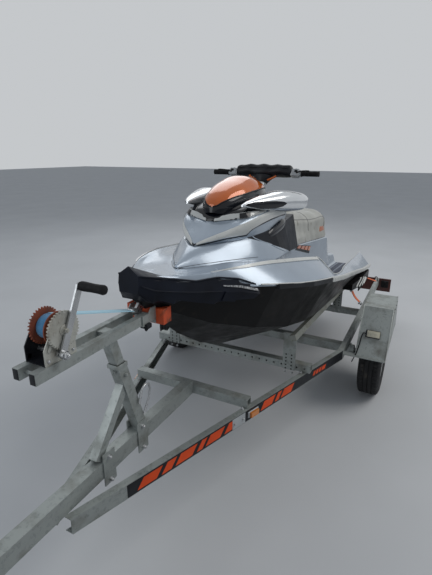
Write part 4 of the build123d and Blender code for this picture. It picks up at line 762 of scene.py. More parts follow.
def dome_rings():
    """Rings whose seventh point on each side lies on the parting line, and that line on the port side."""
    xs = [row[0] for row in DOME_ROWS][::-1]
    columns = [[row[c] for row in DOME_ROWS][::-1] for c in (1, 2, 3)]
    rings, edge = [], []
    for s in range(97):
        x = xs[0] + (xs[-1] - xs[0]) * s / 96
        half, low, top = (monotone(xs, column, x) for column in columns)
        parting = monotone([row[0] for row in DOME_PARTING], [row[1] for row in DOME_PARTING], x)
        share = max(0.03, min(0.94, (parting - low) / (top - low)))
        start = math.asin(share ** (DOME_FULLNESS / 2))
        angles = [start * k / BASE_STEPS for k in range(BASE_STEPS)]
        angles += [start + (math.pi / 2 - start) * k / 14 for k in range(14)]
        angles += [math.pi / 2] + [math.pi - a for a in reversed(angles)]
        ring = [craft(x, half * 0.9, low - 24)]
        for a in angles:
            ring.append(craft(x, fuller(math.cos(a), 2 / DOME_FULLNESS) * half,
                              low + math.sin(a) ** (2 / DOME_FULLNESS) * (top - low)))
        ring.append(craft(x, -half * 0.9, low - 24))
        rings.append(ring)
        edge.append(ring[1 + BASE_STEPS] + PORT * 0.0012)
    return rings, edge


bm = bmesh.new()
all_rings, DOME_EDGE = dome_rings()
dome_grid = ring_faces(bm, all_rings)
dark = {v for ring in dome_grid for v in ring[:BASE_STEPS + 2] + ring[-BASE_STEPS - 2:]}
for face in bm.faces:
    if len(face.verts) > 4 or all(v in dark for v in face.verts):
        face.material_index = 1
dome_shell = piece("dome_shell", bm, "orange", "hood", 50, extra=("gloss",))
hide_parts("hood_dome")

# Mirror wings. Columns: x, inner y, outer y, low z, high z
WING_ROWS = [
    (1050, 168, 182, 905, 918), (1000, 165, 214, 899, 936), (820, 160, 288, 880, 974),
    (640, 165, 348, 869, 997), (510, 205, 377, 873, 989), (462, 250, 376, 892, 974),
    (450, 275, 362, 910, 955),
]
WING_STEPS = 44


def wing(bm, way):
    first, *columns = ([row[c] for row in reversed(WING_ROWS)] for c in range(5))
    rings = []
    for s in range(WING_STEPS + 1):
        x = first[-1] + (first[0] - first[-1]) * s / WING_STEPS
        inner, outer, low, high = (monotone(first, column, x) for column in columns)
        rings.append([craft(x, way * ((inner + outer) / 2 + fuller(math.cos(a), 0.8) * (outer - inner) / 2),
                            (low + high) / 2 + fuller(math.sin(a), 0.72) * (high - low) / 2)
                      for a in turn(28)])
    ring_faces(bm, rings)


bm = bmesh.new()
for way in BOTH:
    wing(bm, way)
mirror_wings = piece("mirror_wings", bm, "chrome", "hood", 60)
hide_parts("mirrors")

# Seat: a crowned foam form under a stretched cover.
# Columns: x, base y, shoulder y, shoulder z, crown y, crown z
SEAT_ROWS = [
    (-1000, 176, 150, 672, 84, 688), (-985, 186, 166, 704, 96, 726),
    (-940, 195, 178, 745, 110, 775), (-860, 199, 184, 774, 115, 812),
    (-780, 200, 185, 784, 115, 822), (-620, 200, 180, 777, 110, 811),
    (-450, 200, 177, 774, 108, 810), (-100, 205, 172, 789, 105, 838),
    (120, 208, 167, 797, 98, 845), (220, 209, 162, 797, 92, 844), (238, 206, 152, 786, 82, 834),
]
SEAT_X, SEAT_Z, SEAT_RISE = 300, 600.3, 0.03125
SEAT_NORMAL = (UPWARD - FORWARD * SEAT_RISE).normalized()


def seat_sections():
    """Half sections whose sides pull in above the base and swell at the shoulder."""
    out = []
    for x, by, sy, sz, cy, cz in SEAT_ROWS:
        base = SEAT_Z + (x - SEAT_X) * SEAT_RISE
        waist = (by + sy) / 2 - 9
        out.append((x, [(0, base - 30), (by - 3, base - 30), (by, base + 12), (by - 4, base + 40),
                        (waist, (base + sz) / 2), (sy + 2, sz - 18), (cy, cz), (0, cz + 5)]))
    return out


def finish_seat(bm):
    cut(bm, craft(SEAT_X, 0, SEAT_Z + 0.4), -SEAT_NORMAL)


seat_cover = skin("seat_cover", seat_sections(), [0, 2, 8, 16, 40, 50, 60, 0], "seat", "saddle", step=16,
                  corner_steps=4, finish=finish_seat)
for vertex in seat_cover.data.vertices:
    q = vertex.co - craft(0, 0, 0)
    x, y, z = q.dot(FORWARD), q.y, q.dot(UPWARD)
    lift = 0.0022 * math.sin(x * 9.0 + 1.3) * math.sin(y * 14) + 0.0014 * math.sin(x * 23 + y * 11)
    if z > 0.64:
        vertex.co += UPWARD * lift * min(1, (z - 0.64) / 0.05)
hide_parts("seat")

# Craft details placed on those surfaces
hood_tree = tree_of(hood_shell, surround_shell)
wing_tree = tree_of(mirror_wings)
seat_tree = tree_of(seat_cover, nodes["console"])

DECK_XS = [row[0] for row in DECK_ROWS]


def deck_at(x, *columns):
    """Values of the deck's columns at a station."""
    return [monotone(DECK_XS, [row[c] for row in DECK_ROWS], x) for c in columns]


def flank(x, share):
    """Point of the deck's flank, from its ridge to its outer edge."""
    sy, sz, ry, rz = deck_at(x, 1, 2, 3, 4)
    return craft(x, ry + (sy - ry) * share, rz + (sz - rz) * share)


# Pale band and cord along the deck's crest: painted highlight where the crest catches the light
crest_xs = [1470 - 20 * k for k in range(48)]
crest_low = [flank(x, 0.05 + 0.09 * min(1, (1470 - x) / 200)) for x in crest_xs]
slab("crest_painted_highlight_band", [flank(x, 0.02) for x in crest_xs], crest_low, 0.002, "pale", lift=0.002)
cords("crest_painted_highlight_rim", [[flank(545 - 20 * k, 0.0) + UPWARD * 0.0005 for k in range(95)]], 0.0036, "pale")

# Bands, gap line, vents and edges of the hood and the mirror wings
patch("hood_lower_band", hood_tree, "pale", "hood", along=50, across=5)

seam("hood_gap_line", tree_of(hood_shell, cowl_shell), 0.0042, "satin", "hood", sink=0.001, count=60)
patch("vent_port", hood_tree, "pale", "hood", lift=0.003, thick=0.004, along=40, across=4)
patch("vent_front", hood_tree, "pale", "hood", lift=0.003, thick=0.004, along=16, across=3)
# Dark patches on the vents: painted shade in place of the openings' insides
patch("vent_hole_painted_shade", hood_tree, "gloss", "hood", lift=0.005, thick=0.004, along=12, across=3)
patch("front_hole_painted_shade", hood_tree, "gloss", "hood", lift=0.002, thick=0.003, along=6, across=2)
cords("dome_edge", [DOME_EDGE], 0.0042, "satin", "hood")
patch("wing_insert", wing_tree, "gloss", "hood", lift=0.0005, thick=0.002, along=30, across=3)

# Dark air inlets between the cowl and the seat: a rounded pod and a bright lower edge
side_tree = tree_of(cowl_shell, nodes["console"])
seam("inlet_frame", side_tree, 0.004, "silver", sink=0.001, count=50)
bm = bmesh.new()
POD_FRONT, POD_REAR, POD_OUT, POD_TALL = craft(800, 228, 728), craft(500, 238, 800), 0.030, 0.040
for way in BOTH:
    rings = []
    for s in range(25):
        t = -1 + 2 * s / 24
        size = max(0.02, (1 - abs(t) ** 2.4) ** 0.5)
        centre = POD_FRONT.lerp(POD_REAR, (t + 1) / 2)
        ring = [centre + PORT * (math.cos(a) * POD_OUT * size) + UPWARD * (math.sin(a) * POD_TALL * size)
                for a in turn(28)]
        rings.append(mirrored(ring, way))
    ring_faces(bm, rings)
piece("inlet_pods", bm, "gloss", TRAILER, 60)

# Dark band with generic orange blocks on the pedestal's walls
BAND = ((140, 566), (40, 590), (-280, 486), (-345, 541))
BLOCK_SPANS = ((0.02, 0.22), (0.30, 0.50), (0.57, 0.76), (0.83, 0.97))


def wall_point(along, across, proud):
    """Point of the pedestal's wall inside the band, from its front low corner."""
    (ax, az), (bx, bz), (cx, cz), (dx, dz) = BAND
    x = (ax + (cx - ax) * along) * (1 - across) + (bx + (dx - bx) * along) * across
    z = (az + (cz - az) * along) * (1 - across) + (bz + (dz - bz) * along) * across
    inner_y, floor_z, top_y, top_z = deck_at(x, 6, 7, 8, 9)
    return craft(x, inner_y + (top_y - inner_y) * (z - floor_z) / (top_z - floor_z) + proud, z)


steps = [k / 24 for k in range(25)]
slab("pedestal_border", [wall_point(t, 0, 1) for t in steps], [wall_point(t, 1, 1) for t in steps], 0.002,
     "satin")
for index, (start, stop) in enumerate(BLOCK_SPANS):
    places = [start + (stop - start) * k / 6 for k in range(7)]
    slab("band_block_%d" % index, [wall_point(t, 0.34, 3) for t in places],
         [wall_point(t, 0.92, 3) for t in places], 0.002, "orange", lift=0.001)

# Seat: sewn welts along the shoulders and across, and an orange block on the tail
seat_half = sorted(SEAT_ROWS)
SEAT_XS = [row[0] for row in seat_half]


def seat_at(x, *columns):
    return [monotone(SEAT_XS, [row[c] for row in seat_half], x) for c in columns]


shoulder = []
for k in range(60):
    x = 212 - 20 * k
    low, high = seat_at(x, 3, 5)
    shoulder += girth(seat_tree, x, low - 70, [math.degrees(math.atan2(52, seat_at(x, 2)[0]))])
cords("seat_shoulder_welts", [[p + (UPWARD + PORT) * 0.0004 for p in shoulder]], 0.0022, "seat_dark",
      "saddle")
for index, x in enumerate((170, -330, -880)):
    bm = bmesh.new()
    tube(bm, girth(seat_tree, x, 660, range(2, 179, 4)), 0.0024, 8)
    piece("seat_cross_welt_%d" % index, bm, "seat_dark", "saddle", 60)
patch("seat_tail_block", seat_tree, "orange", "saddle", lift=0.001, thick=0.0018, along=8, across=5)

# Dark line where the cowl meets the deck, a painted shadow of the step there; and the bow bumper
seam("cowl_step_painted_shadow", tree_of(cowl_shell, deck_shell), 0.0016, "satin", sink=0.0005, count=60)
# Bumper rows as in the solid. Columns: x, outer y, low z, high z
BUMPER_ROWS = [(1262, 386, 465, 545), (1350, 324, 463, 582), (1450, 258, 466, 598), (1550, 200, 490, 591),
               (1650, 144, 498, 612), (1740, 92, 515, 628), (1800, 54, 562, 640)]
BUMPER_LOW_SHARE, BUMPER_HIGH_SHARE = 0.90, 0.94


def bumper_point(x, share, proud=0.0):
    """Point of the bumper's side: 0 at its low edge, 1 at its widest line, 2 at its upper edge."""
    for a, b in zip(BUMPER_ROWS, BUMPER_ROWS[1:]):
        if a[0] <= x <= b[0]:
            t = (x - a[0]) / (b[0] - a[0])
            outer, low, high = (a[c] + (b[c] - a[c]) * t for c in (1, 2, 3))
    middle = (low + high) / 2
    if share <= 1:
        y, z = outer * (BUMPER_LOW_SHARE + (1 - BUMPER_LOW_SHARE) * share), low + (middle - low) * share
    else:
        y, z = outer * (1 + (BUMPER_HIGH_SHARE - 1) * (share - 1)), middle + (high - middle) * (share - 1)
    return craft(x, y + proud, z)


def bumper_slab(name, front, rear, low_share, high_share, thick, material, lift=0.0, lean=0.0):
    """Raised panel on the bumper's sides; lean moves its front end's low edge aft."""
    xs = [rear + (front - rear) * k / 16 for k in range(17)]
    slab(name, [bumper_point(x, low_share + lean * (x - rear) / (front - rear)) for x in xs],
         [bumper_point(x, high_share) for x in xs], thick, material, lift=lift)


bumper_slab("bumper_box", 1425, 1264, 0.25, 1.0, 0.006, "bumper")
bumper_slab("rub_strip", 1430, 1266, 1.18, 1.46, 0.003, "speckled", lift=0.001, lean=0.2)
cords("bumper_lip", [[bumper_point(1264 + 12 * k, 2.0) for k in range(45)]], 0.0045, "bumper")
cords("bumper_crease", [[bumper_point(1440 + 12 * k, 1.0) for k in range(30)]], 0.0030, "bumper")

# Pale line over the dark gunwale and pale ribs on its rear part, a painted highlight of the gunwale's edge;
# bars on the sponsons
gunwale_highlight = [craft(x, deck_at(x, 1)[0] + 4, deck_at(x, 2)[0] + 13) for x in range(1250, -1350, -26)]
cords("gunwale_highlight_line", [gunwale_highlight], 0.0042, "pale")
bm = bmesh.new()
for k in range(44):
    x = 620 - 44 * k
    sy, sz = deck_at(x, 1, 2)
    for way in BOTH:
        out = PORT * way
        block(bm, craft(x, way * (sy + 8), sz + 12), (FORWARD, out, UPWARD), (0.018, 0.016, 0.009), 0.002)
        block(bm, craft(x, way * (sy + 15), sz), (FORWARD, out, UPWARD), (0.018, 0.008, 0.022), 0.002)
piece("gunwale_ribs_painted_highlight", bm, "pale")
OUTLET_BARS = (((-520, 596, 199), (-660, 606, 258)), ((-610, 606, 186), (-758, 618, 248)),
               ((-700, 616, 183), (-850, 620, 232)), ((-792, 619, 182), (-902, 620, 215)))
cords("sponson_bars", [[craft(*foot).lerp(craft(*head), k / 6) + PORT * 0.002 for k in range(7)]
                       for foot, head in OUTLET_BARS], 0.007, "pale")

# Handlebar
BAR_TILT = math.radians(24)
BAR_CENTRE = craft(303, 0, 1108)
BAR_UP = UPWARD * math.cos(BAR_TILT) - FORWARD * math.sin(BAR_TILT)
BAR_AHEAD = PORT.cross(BAR_UP)
PAD_HALF, PAD_DEPTH, PAD_LOW, PAD_HIGH = 205, 48, -30, 60
GRIP_START, GRIP_RADIUS, GRIP_RIDGES, RIDGE_PITCH = 270, 17, 11, 0.0088


def bar_point(y, ahead, up):
    return BAR_CENTRE + (PORT * y + BAR_AHEAD * ahead + BAR_UP * up) / 1000


def pad_rings():
    """Lobed foam pad: fuller over the clamps, drawn in between them and rounded at both ends."""
    rings = []
    for s in range(73):
        t = -1 + 2 * s / 72
        end = max(0.0, 1 - abs(t) ** 9) ** 0.5
        lobe = 0.93 + 0.05 * math.cos(t * 13.5) + 0.03 * math.cos(t * 5 + 0.6)
        top = PAD_HIGH * (0.52 + 0.48 * end) * lobe
        low = PAD_LOW * (0.35 + 0.65 * end) * (0.72 + 0.28 * math.cos(t * math.pi * 0.9) ** 2)
        deep = PAD_DEPTH * (0.45 + 0.55 * end) * (0.94 + 0.06 * math.cos(t * 11))
        rings.append([bar_point(t * PAD_HALF, fuller(math.cos(a), 0.75) * deep,
                                (top + low) / 2 + fuller(math.sin(a), 0.75) * (top - low) / 2)
                      for a in turn(32)])
    return rings


bm = bmesh.new()
ring_faces(bm, pad_rings())
foam_pad = piece("foam_pad", bm, "satin", "steering", 60)
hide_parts("handlebar_pad")

# Two welts run along the pad, and three cross it
bm = bmesh.new()
for ahead, up in ((PAD_DEPTH * 0.98, 18), (-PAD_DEPTH * 0.98, 18)):
    tube(bm, [bar_point(y, ahead * 0.98, up) for y in range(-186, 187, 12)], 0.0022, 6)
for y in (-96, 0, 96):
    arc = [math.pi * k / 16 for k in range(17)]
    tube(bm, [bar_point(y, PAD_DEPTH * math.cos(a), 16 + 43 * math.sin(a)) for a in arc], 0.0028, 6)
piece("pad_welts", bm, "grip", "steering", 60)

bm = bmesh.new()
for way in BOTH:
    profile = [(0, 0.012), (0, 0.021), (0.006, 0.021), (0.008, GRIP_RADIUS / 1000)]
    for k in range(GRIP_RIDGES):
        start = 0.012 + k * RIDGE_PITCH
        profile += [(start, 0.0162), (start + 0.0018, 0.0182), (start + 0.0056, 0.0182),
                    (start + 0.0074, 0.0162)]
    profile += [(0.112, 0.0185), (0.119, 0.0185), (0.121, 0.012)]
    lathe(bm, bar_point(way * GRIP_START, 0, 0), PORT * way, profile, 28)
ribbed_grips = piece("ribbed_grips", bm, "grip", "steering", 30)
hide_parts("grips")

# Perch housings with their screws, finger levers, and the neck cover with its orange edge
bm = bmesh.new()
for way in BOTH:
    block(bm, bar_point(way * 231, 2, 0), (PORT, BAR_AHEAD, BAR_UP), (0.050, 0.050, 0.049), 0.007)
    block(bm, bar_point(way * 262, 0, 0), (PORT, BAR_AHEAD, BAR_UP), (0.012, 0.036, 0.036), 0.004)
    for ahead in (-14, 14):
        bolt(bm, bar_point(way * 231, ahead, 24.5), BAR_UP, 0.005, 0.004)
piece("perch_housings", bm, "pale_grey", "steering")
LEVER_LINE = ((240, 26), (262, 42), (290, 52), (318, 55), (334, 53))
bm = bmesh.new()
for way in BOTH:
    block(bm, bar_point(way * 236, 28, 6), (PORT, BAR_AHEAD, BAR_UP), (0.020, 0.010, 0.014), 0.003)
    tube(bm, [bar_point(way * y, ahead, -6) for y, ahead in LEVER_LINE], 0.005, 10)
piece("finger_levers", bm, "grip", "steering")
# Columns: up, half width, half depth
NECK_ROWS = ((-78, 34, 33), (-70, 40, 37), (-54, 52, 42), (-38, 66, 46), (-30, 70, 47))

bm = bmesh.new()
ring_faces(bm, [[bar_point(across * math.cos(a), ahead * math.sin(a), up) for a in turn(36)]
                for up, across, ahead in NECK_ROWS])
piece("neck_cover", bm, "satin", "steering")
bm = bmesh.new()
for way in BOTH:
    tube(bm, [bar_point(way * (18 + 5.4 * k), 14, -60 + 0.145 * k * k) for k in range(16)], 0.0075, 12)
piece("pad_trim", bm, "orange", "steering")

# Tyres, rims and wheel bolts
WHEEL_Y, TYRE_RADIUS, TYRE_WIDTH, RIM_RADIUS, RIM_WIDTH = 0.850, 0.280, 0.155, 0.168, 0.130
TREAD_STEPS = 216


def tread_drop(across, angle_index):
    """Depth of the tread at a place: three round grooves and staggered cross cuts in the shoulders."""
    for groove in (-0.030, 0.0, 0.030):
        if abs(across - groove) < 0.0032:
            return 0.0062
    shoulder = abs(across) > 0.036
    return 0.0050 if shoulder and (angle_index + (2 if across > 0 else 0)) % 4 == 0 else 0.0


def tyre_rings(centre, way):
    half = TYRE_WIDTH / 2
    side = [(RIM_RADIUS - 0.004, -RIM_WIDTH / 2), (RIM_RADIUS + 0.006, -RIM_WIDTH / 2 - 0.004),
            (TYRE_RADIUS - 0.086, -half + 0.003), (TYRE_RADIUS - 0.058, -half),
            (TYRE_RADIUS - 0.036, -half + 0.002), (TYRE_RADIUS - 0.016, -half + 0.009),
            (TYRE_RADIUS - 0.006, -half + 0.017)]
    tread = [-0.056, -0.048, -0.0365, -0.0355, -0.0334, -0.0331, -0.0269, -0.0266, -0.018, -0.008,
             -0.0034, -0.0031]
    tread += [-a for a in reversed(tread)]
    rings = []
    for k, a in enumerate(turn(TREAD_STEPS)):
        out = Vector((math.cos(a), 0, math.sin(a)))
        profile = side + [(TYRE_RADIUS - 0.0006 - tread_drop(t, k) - 0.5 * t * t, t) for t in tread]
        profile += [(r, -t) for r, t in reversed(side)]
        rings.append([centre + out * r + PORT * (t * way) for r, t in profile])
    return rings


for name, way in (("port", 1), ("starboard", -1)):
    centre = trailer(0, way * WHEEL_Y * 1000, TYRE_RADIUS * 1000)
    bm = bmesh.new()
    grid = [[bm.verts.new(p) for p in ring] for ring in tyre_rings(centre, way)]
    count = len(grid[0])
    for k in range(TREAD_STEPS):
        a, b = grid[k], grid[(k + 1) % TREAD_STEPS]
        for j in range(count):
            n = (j + 1) % count
            bm.faces.new((a[j], a[n], b[n], b[j]))
    tyre = piece("treaded_tyre_" + name, bm, "rubber", "wheel_" + name, 30)
    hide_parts("tyre_" + name)
    bm = bmesh.new()
    for a in turn(5):
        out = Vector((math.cos(a + 0.3), 0, math.sin(a + 0.3)))
        bolt(bm, centre + PORT * (way * 0.028) + out * 0.066, PORT * way, 0.0105, 0.012, washer=False)
    lathe(bm, centre + PORT * (way * 0.0335), PORT * way,
          [(0, 0.034), (0.004, 0.0345), (0.010, 0.033), (0.014, 0.026), (0.0155, 0.012)], 36)
    lathe(bm, centre + PORT * (way * 0.004) + Vector((math.cos(1.2), 0, math.sin(1.2))) * 0.140, PORT * way,
          [(0, 0.005), (0.014, 0.005), (0.016, 0.0035), (0.030, 0.0035), (0.032, 0.0045), (0.040, 0.0045),
           (0.041, 0.002)], 12)
    piece("wheel_bolts_" + name, bm, "steel", "wheel_" + name)

# Rails: dark bands with generic stripes
RAIL_FRONT_X, RAIL_FRONT_Y, RAIL_BEND_X, RAIL_OUTER_Y = 2235, 60, 340, 680
RAIL_SLOPE = (RAIL_OUTER_Y - RAIL_FRONT_Y) / (RAIL_FRONT_X - RAIL_BEND_X)
RAIL_OUT = Vector((math.sin(math.atan(RAIL_SLOPE)), math.cos(math.atan(RAIL_SLOPE)), 0))
BAND_FRONT_X, BAND_REAR_X, BAND_LOW, BAND_HIGH = 2005, 348, 378, 442


def rail_face(x, z, proud=0.0):
    """Point of the port rail's outer face, moved outward by a distance in metres."""
    return trailer(x, RAIL_FRONT_Y + (RAIL_FRONT_X - x) * RAIL_SLOPE, z) + RAIL_OUT * proud


def oblong(front, rear, low, high):
    """Corners (x, z) of an upright oblong on the rail."""
    return [(front, low), (rear, low), (rear, high), (front, high)]


def rail_plate(bm, corners, near, far):
    """Thin plate on both rails' outer faces, from (x, z) corners."""
    for way in BOTH:
        ring_faces(bm, [mirrored([rail_face(x, z, proud) for x, z in corners], way)
                        for proud in (near, far)])


bm = bmesh.new()
rail_plate(bm, oblong(BAND_FRONT_X, BAND_REAR_X, BAND_LOW, BAND_HIGH), -0.0004, 0.0009)
piece("rail_bands", bm, "satin", sharp=30)
# Columns: front x, width, lean of the bar
STRIPES = [
    (1960, 96, 34), (1838, 52, 34), (1764, 96, 34), (1640, 34, 34), (1586, 96, 34), (1462, 52, 34),
    (1388, 34, 34), (1190, 96, 30), (1070, 34, 30), (1016, 96, 30), (700, 22, 10), (668, 22, 10),
    (636, 22, 10), (604, 40, 10),
]
bm = bmesh.new()
for x, width, lean in STRIPES:
    low, high = (386, 434) if width > 30 and x > 900 else (396, 424)
    rail_plate(bm, [(x, low), (x - width, low), (x - width - lean, high), (x - lean, high)], 0.0006, 0.0013)
piece("rail_stripes", bm, "stripe", sharp=30)

# Side lamps: a tapered pale base behind each lens, and a bolted plate beside it
LAMP_BASE = ((0.0004, oblong(1290, 1210, 392, 428)), (0.006, oblong(1286, 1214, 395, 425)))
SIDE_PLATE, PLATE_FACE = oblong(1405, 1312, 380, 440), 0.0026
bm = bmesh.new()
for way in BOTH:
    ring_faces(bm, [mirrored([rail_face(x, z, proud) for x, z in corners], way)
                    for proud, corners in LAMP_BASE])
rail_plate(bm, SIDE_PLATE, 0.0004, PLATE_FACE)
piece("side_lamp_bases", bm, "pale_grey", sharp=30)
bm = bmesh.new()
for way in BOTH:
    for x in (1328, 1390):
        place, out = mirrored([rail_face(x, 410, PLATE_FACE), RAIL_OUT], way)
        bolt(bm, place, out, 0.008, 0.006)
piece("side_plate_bolts", bm, "steel")

# Fender lamps: dark base, cream lens with ribs, cable down the slope
FENDER_FLAT_X, FENDER_TOP, FENDER_FOOT_X, FENDER_BOTTOM = 112, 712, 305, 410
FENDER_WAY = (trailer(FENDER_FOOT_X, 0, FENDER_BOTTOM) - trailer(FENDER_FLAT_X, 0, FENDER_TOP)).normalized()
FENDER_OUT = Vector((-FENDER_WAY.z, 0, FENDER_WAY.x))
LAMP_X, LAMP_Y = 218, 850
LAMP_DOWN = (LAMP_X - FENDER_FLAT_X) / (FENDER_FOOT_X - FENDER_FLAT_X) * (FENDER_TOP - FENDER_BOTTOM)

bases, lenses, cables = bmesh.new(), bmesh.new(), bmesh.new()
for way in BOTH:
    middle = trailer(LAMP_X, way * LAMP_Y, FENDER_TOP - LAMP_DOWN)
    block(bases, middle + FENDER_OUT * 0.005 - PORT * (way * 0.004), (PORT, FENDER_WAY, FENDER_OUT),
          (0.094, 0.052, 0.0235), 0.003)
    block(lenses, middle + FENDER_OUT * 0.0150 + FENDER_WAY * 0.005, (PORT, FENDER_WAY, FENDER_OUT),
          (0.074, 0.036, 0.0185), 0.004)
    for k in range(5):
        rib = middle + FENDER_OUT * 0.0242 + FENDER_WAY * (-0.006 + 0.0055 * k)
        tube(lenses, [rib - PORT * 0.030, rib + PORT * 0.030], 0.0010, 6)
    start = middle - PORT * (way * 0.050) + FENDER_OUT * 0.006
    route = [start, start - PORT * (way * 0.018) + FENDER_OUT * 0.003,
             start - PORT * (way * 0.026) + FENDER_WAY * 0.030,
             start - PORT * (way * 0.030) + FENDER_WAY * 0.085,
             start - PORT * (way * 0.040) + FENDER_WAY * 0.150,
             start - PORT * (way * 0.060) + FENDER_WAY * 0.215]
    tube(cables, route, 0.0035, 8)
piece("fender_lamp_bases", bases, "satin")
piece("fender_lamp_lenses", lenses, "cream")
piece("fender_lamp_cables", cables, "grip", sharp=60)

# Folded seams, rivets and bolts on the fenders
bm = bmesh.new()
FENDER_LINE = ((-390, 410), (-200, 712), (112, 712), (305, 410))
for way in BOTH:
    for y in (755, 949):
        tube(bm, [trailer(x, way * y, z) for x, z in FENDER_LINE], 0.0035, 8)
    for x, z in ((290, 408), (-375, 408)):
        for y in (780, 924):
            bolt(bm, trailer(x, way * y, z), -UP, 0.008, 0.006)
    for x in (-150, -60, 30, 90):
        bolt(bm, trailer(x, way * 951, 690), PORT * way, 0.007, 0.004)
piece("fender_edges", bm, "zinc", sharp=50)

# Frame: bolts, holes and clamps
FRAME_TOP, DRAWBAR_SIDE_Y = 445, 33.5
FRONT_BEAM_X, MIDDLE_BEAM_X, REAR_BEAM_X = 1260, 745, -700
BUNK_POST_Y, POST_FRONT = 425, 31
AXLE_BOLTS_X, AXLE_BOLTS_Y, AXLE_BOTTOM = (68.4, 81.6), 640, 375
bm = bmesh.new()
for way in BOTH:
    for x, y in ((FRONT_BEAM_X, 340), (MIDDLE_BEAM_X, 508), (REAR_BEAM_X, 618)):
        for dx in (12, 38):
            bolt(bm, trailer(x + dx, way * y, FRAME_TOP), UP, 0.009, 0.007)
    for x, z in ((MIDDLE_BEAM_X, 428), (REAR_BEAM_X, 350)):
        for dy in (-22, 22):
            bolt(bm, trailer(x + POST_FRONT, way * (BUNK_POST_Y + dy), z), AHEAD, 0.008, 0.006)
for x in (1755, 1985):
    for way in BOTH:
        for z in (419, 533):
            bolt(bm, trailer(x, way * DRAWBAR_SIDE_Y, z), PORT * way, 0.011, 0.009)
for way in BOTH:
    for x in AXLE_BOLTS_X:
        bolt(bm, trailer(x, way * AXLE_BOLTS_Y, AXLE_BOTTOM), -UP, 0.010, 0.008)
piece("frame_bolts", bm, "steel")

# Dark discs on the bunk posts: painted shade in place of the holes' insides
bm = bmesh.new()
for way in BOTH:
    for x, low_z in ((MIDDLE_BEAM_X, 452), (REAR_BEAM_X, 400)):
        for k in range(5):
            for dy in (-20, 16):
                lathe(bm, trailer(x + POST_FRONT + 0.2, way * (BUNK_POST_Y + dy), low_z + 24 * k), AHEAD,
                      [(0, 0.0052), (0.0006, 0.0052)], 14)
piece("post_hole_painted_shade", bm, "hull")

# Winch: toothed far gear, nuts, pawl and black crank grip
WINCH_X, WINCH_Z = 2160, 1186
FAR_TEETH, NEAR_TEETH, NEAR_FACE = 34, 36, 0.0604
SHAFT_GAP, SHAFT_ANGLE = 66 + 13 + 2, math.radians(-72)
DRUM = trailer(WINCH_X, 0, WINCH_Z)
CRANK = trailer(WINCH_X + SHAFT_GAP * math.cos(SHAFT_ANGLE), 0, WINCH_Z + SHAFT_GAP * math.sin(SHAFT_ANGLE))


def gear_rings(bm, centre, y0, y1, teeth, root, tip):
    """Spur gear about a line along Y between two planes, in millimetres."""
    outline = []
    for k in range(teeth):
        for share, radius in ((0.0, root), (0.18, root), (0.32, tip), (0.58, tip), (0.72, root)):
            a = 2 * math.pi * (k + share) / teeth
            outline.append((math.cos(a) * radius / 1000, math.sin(a) * radius / 1000))
    ring_faces(bm, [[centre + Vector((x, y / 1000, z)) for x, z in outline] for y in (y0, y1)])


bm = bmesh.new()
gear_rings(bm, DRUM, -35.2, -28.8, FAR_TEETH, 59.6, 66)
piece("far_gear", bm, "rust", "winch_reel", 30)
bm = bmesh.new()
gear_rings(bm, DRUM, 51.4, 60.6, NEAR_TEETH, 61.4, 66.6)
for a in turn(5):
    lathe(bm, DRUM + Vector((math.cos(a) * 0.037, NEAR_FACE, math.sin(a) * 0.037)), PORT,
          [(0, 0.009), (0.0012, 0.0086)], 20)
lathe(bm, DRUM + PORT * NEAR_FACE, PORT, [(0, 0.019), (0.003, 0.019), (0.004, 0.015), (0.006, 0.015)], 28)
bolt(bm, DRUM + PORT * 0.066, PORT, 0.011, 0.009)
# The near gear wears the lighter galvanised copy: painted sunlight
piece("near_gear", bm, "zinc_painted_lit", "winch_reel", 30)
bm = bmesh.new()
for way in BOTH:
    for x, z in ((2120, 1096), (2226, 1096), (2140, 1190), (2120, 1140)):
        bolt(bm, trailer(x, way * 43, z), PORT * way, 0.008, 0.006)
bolt(bm, trailer(2204, 47, 1150), PORT, 0.007, 0.006)
piece("winch_bolts", bm, "steel")
bm = bmesh.new()
for x, z, angle in ((2215, 1165, 200), (2222, 1130, 120)):
    a = math.radians(angle)
    tip = Vector((math.cos(a) * 0.034, 0, math.sin(a) * 0.034))
    block(bm, trailer(x, 49.2, z) + tip * 0.5, (tip.normalized(), PORT, tip.normalized().cross(PORT)),
          (0.040, 0.004, 0.012), 0.0015)
# The pawls wear the lighter galvanised copy: painted sunlight
piece("winch_pawls", bm, "zinc_painted_lit")

CRANK_ANGLE, CRANK_REACH, CRANK_OUT = math.radians(116), 0.235, 0.073
CRANK_WAY = Vector((math.cos(CRANK_ANGLE), 0, math.sin(CRANK_ANGLE)))
CRANK_END = CRANK + CRANK_WAY * CRANK_REACH + PORT * CRANK_OUT
bm = bmesh.new()
lathe(bm, CRANK_END, PORT, [(0.004, 0.013), (0.006, 0.0165), (0.020, 0.0172), (0.060, 0.0155),
                            (0.086, 0.0160), (0.102, 0.0172), (0.108, 0.0150), (0.110, 0.008)], 28)
piece("crank_grip", bm, "grip", "winch_handle")
bm = bmesh.new()
bolt(bm, CRANK + PORT * 0.083, PORT, 0.014, 0.011)
bolt(bm, CRANK_END - PORT * 0.0072, -PORT, 0.010, 0.006)
piece("crank_nuts", bm, "steel", "winch_handle")
bm = bmesh.new()
for radius in (0.0428, 0.0388, 0.0348):
    lathe(bm, DRUM - PORT * 0.0235, PORT, [(0, radius - 0.0004), (0.001, radius), (0.046, radius),
                                           (0.047, radius - 0.0004)], 48)
piece("strap_windings", bm, "strap_blue", "winch_reel")

# Winch post joint, its set bolt and rod loop; beam clamps
POST_FOOT_X, POST_HEAD_X = 1740, 1897
DRAWBAR_TOP, BEAM_BOTTOM, COLLAR_Z = FRAME_TOP + 78, 1038, 895
# Places (x, z) of the rod loop beside the post's foot
LOOP = ((1742, 596), (1700, 660), (1688, 700), (1696, 728),
        (1720, 738), (1744, 728), (1758, 704), (1772, 664))


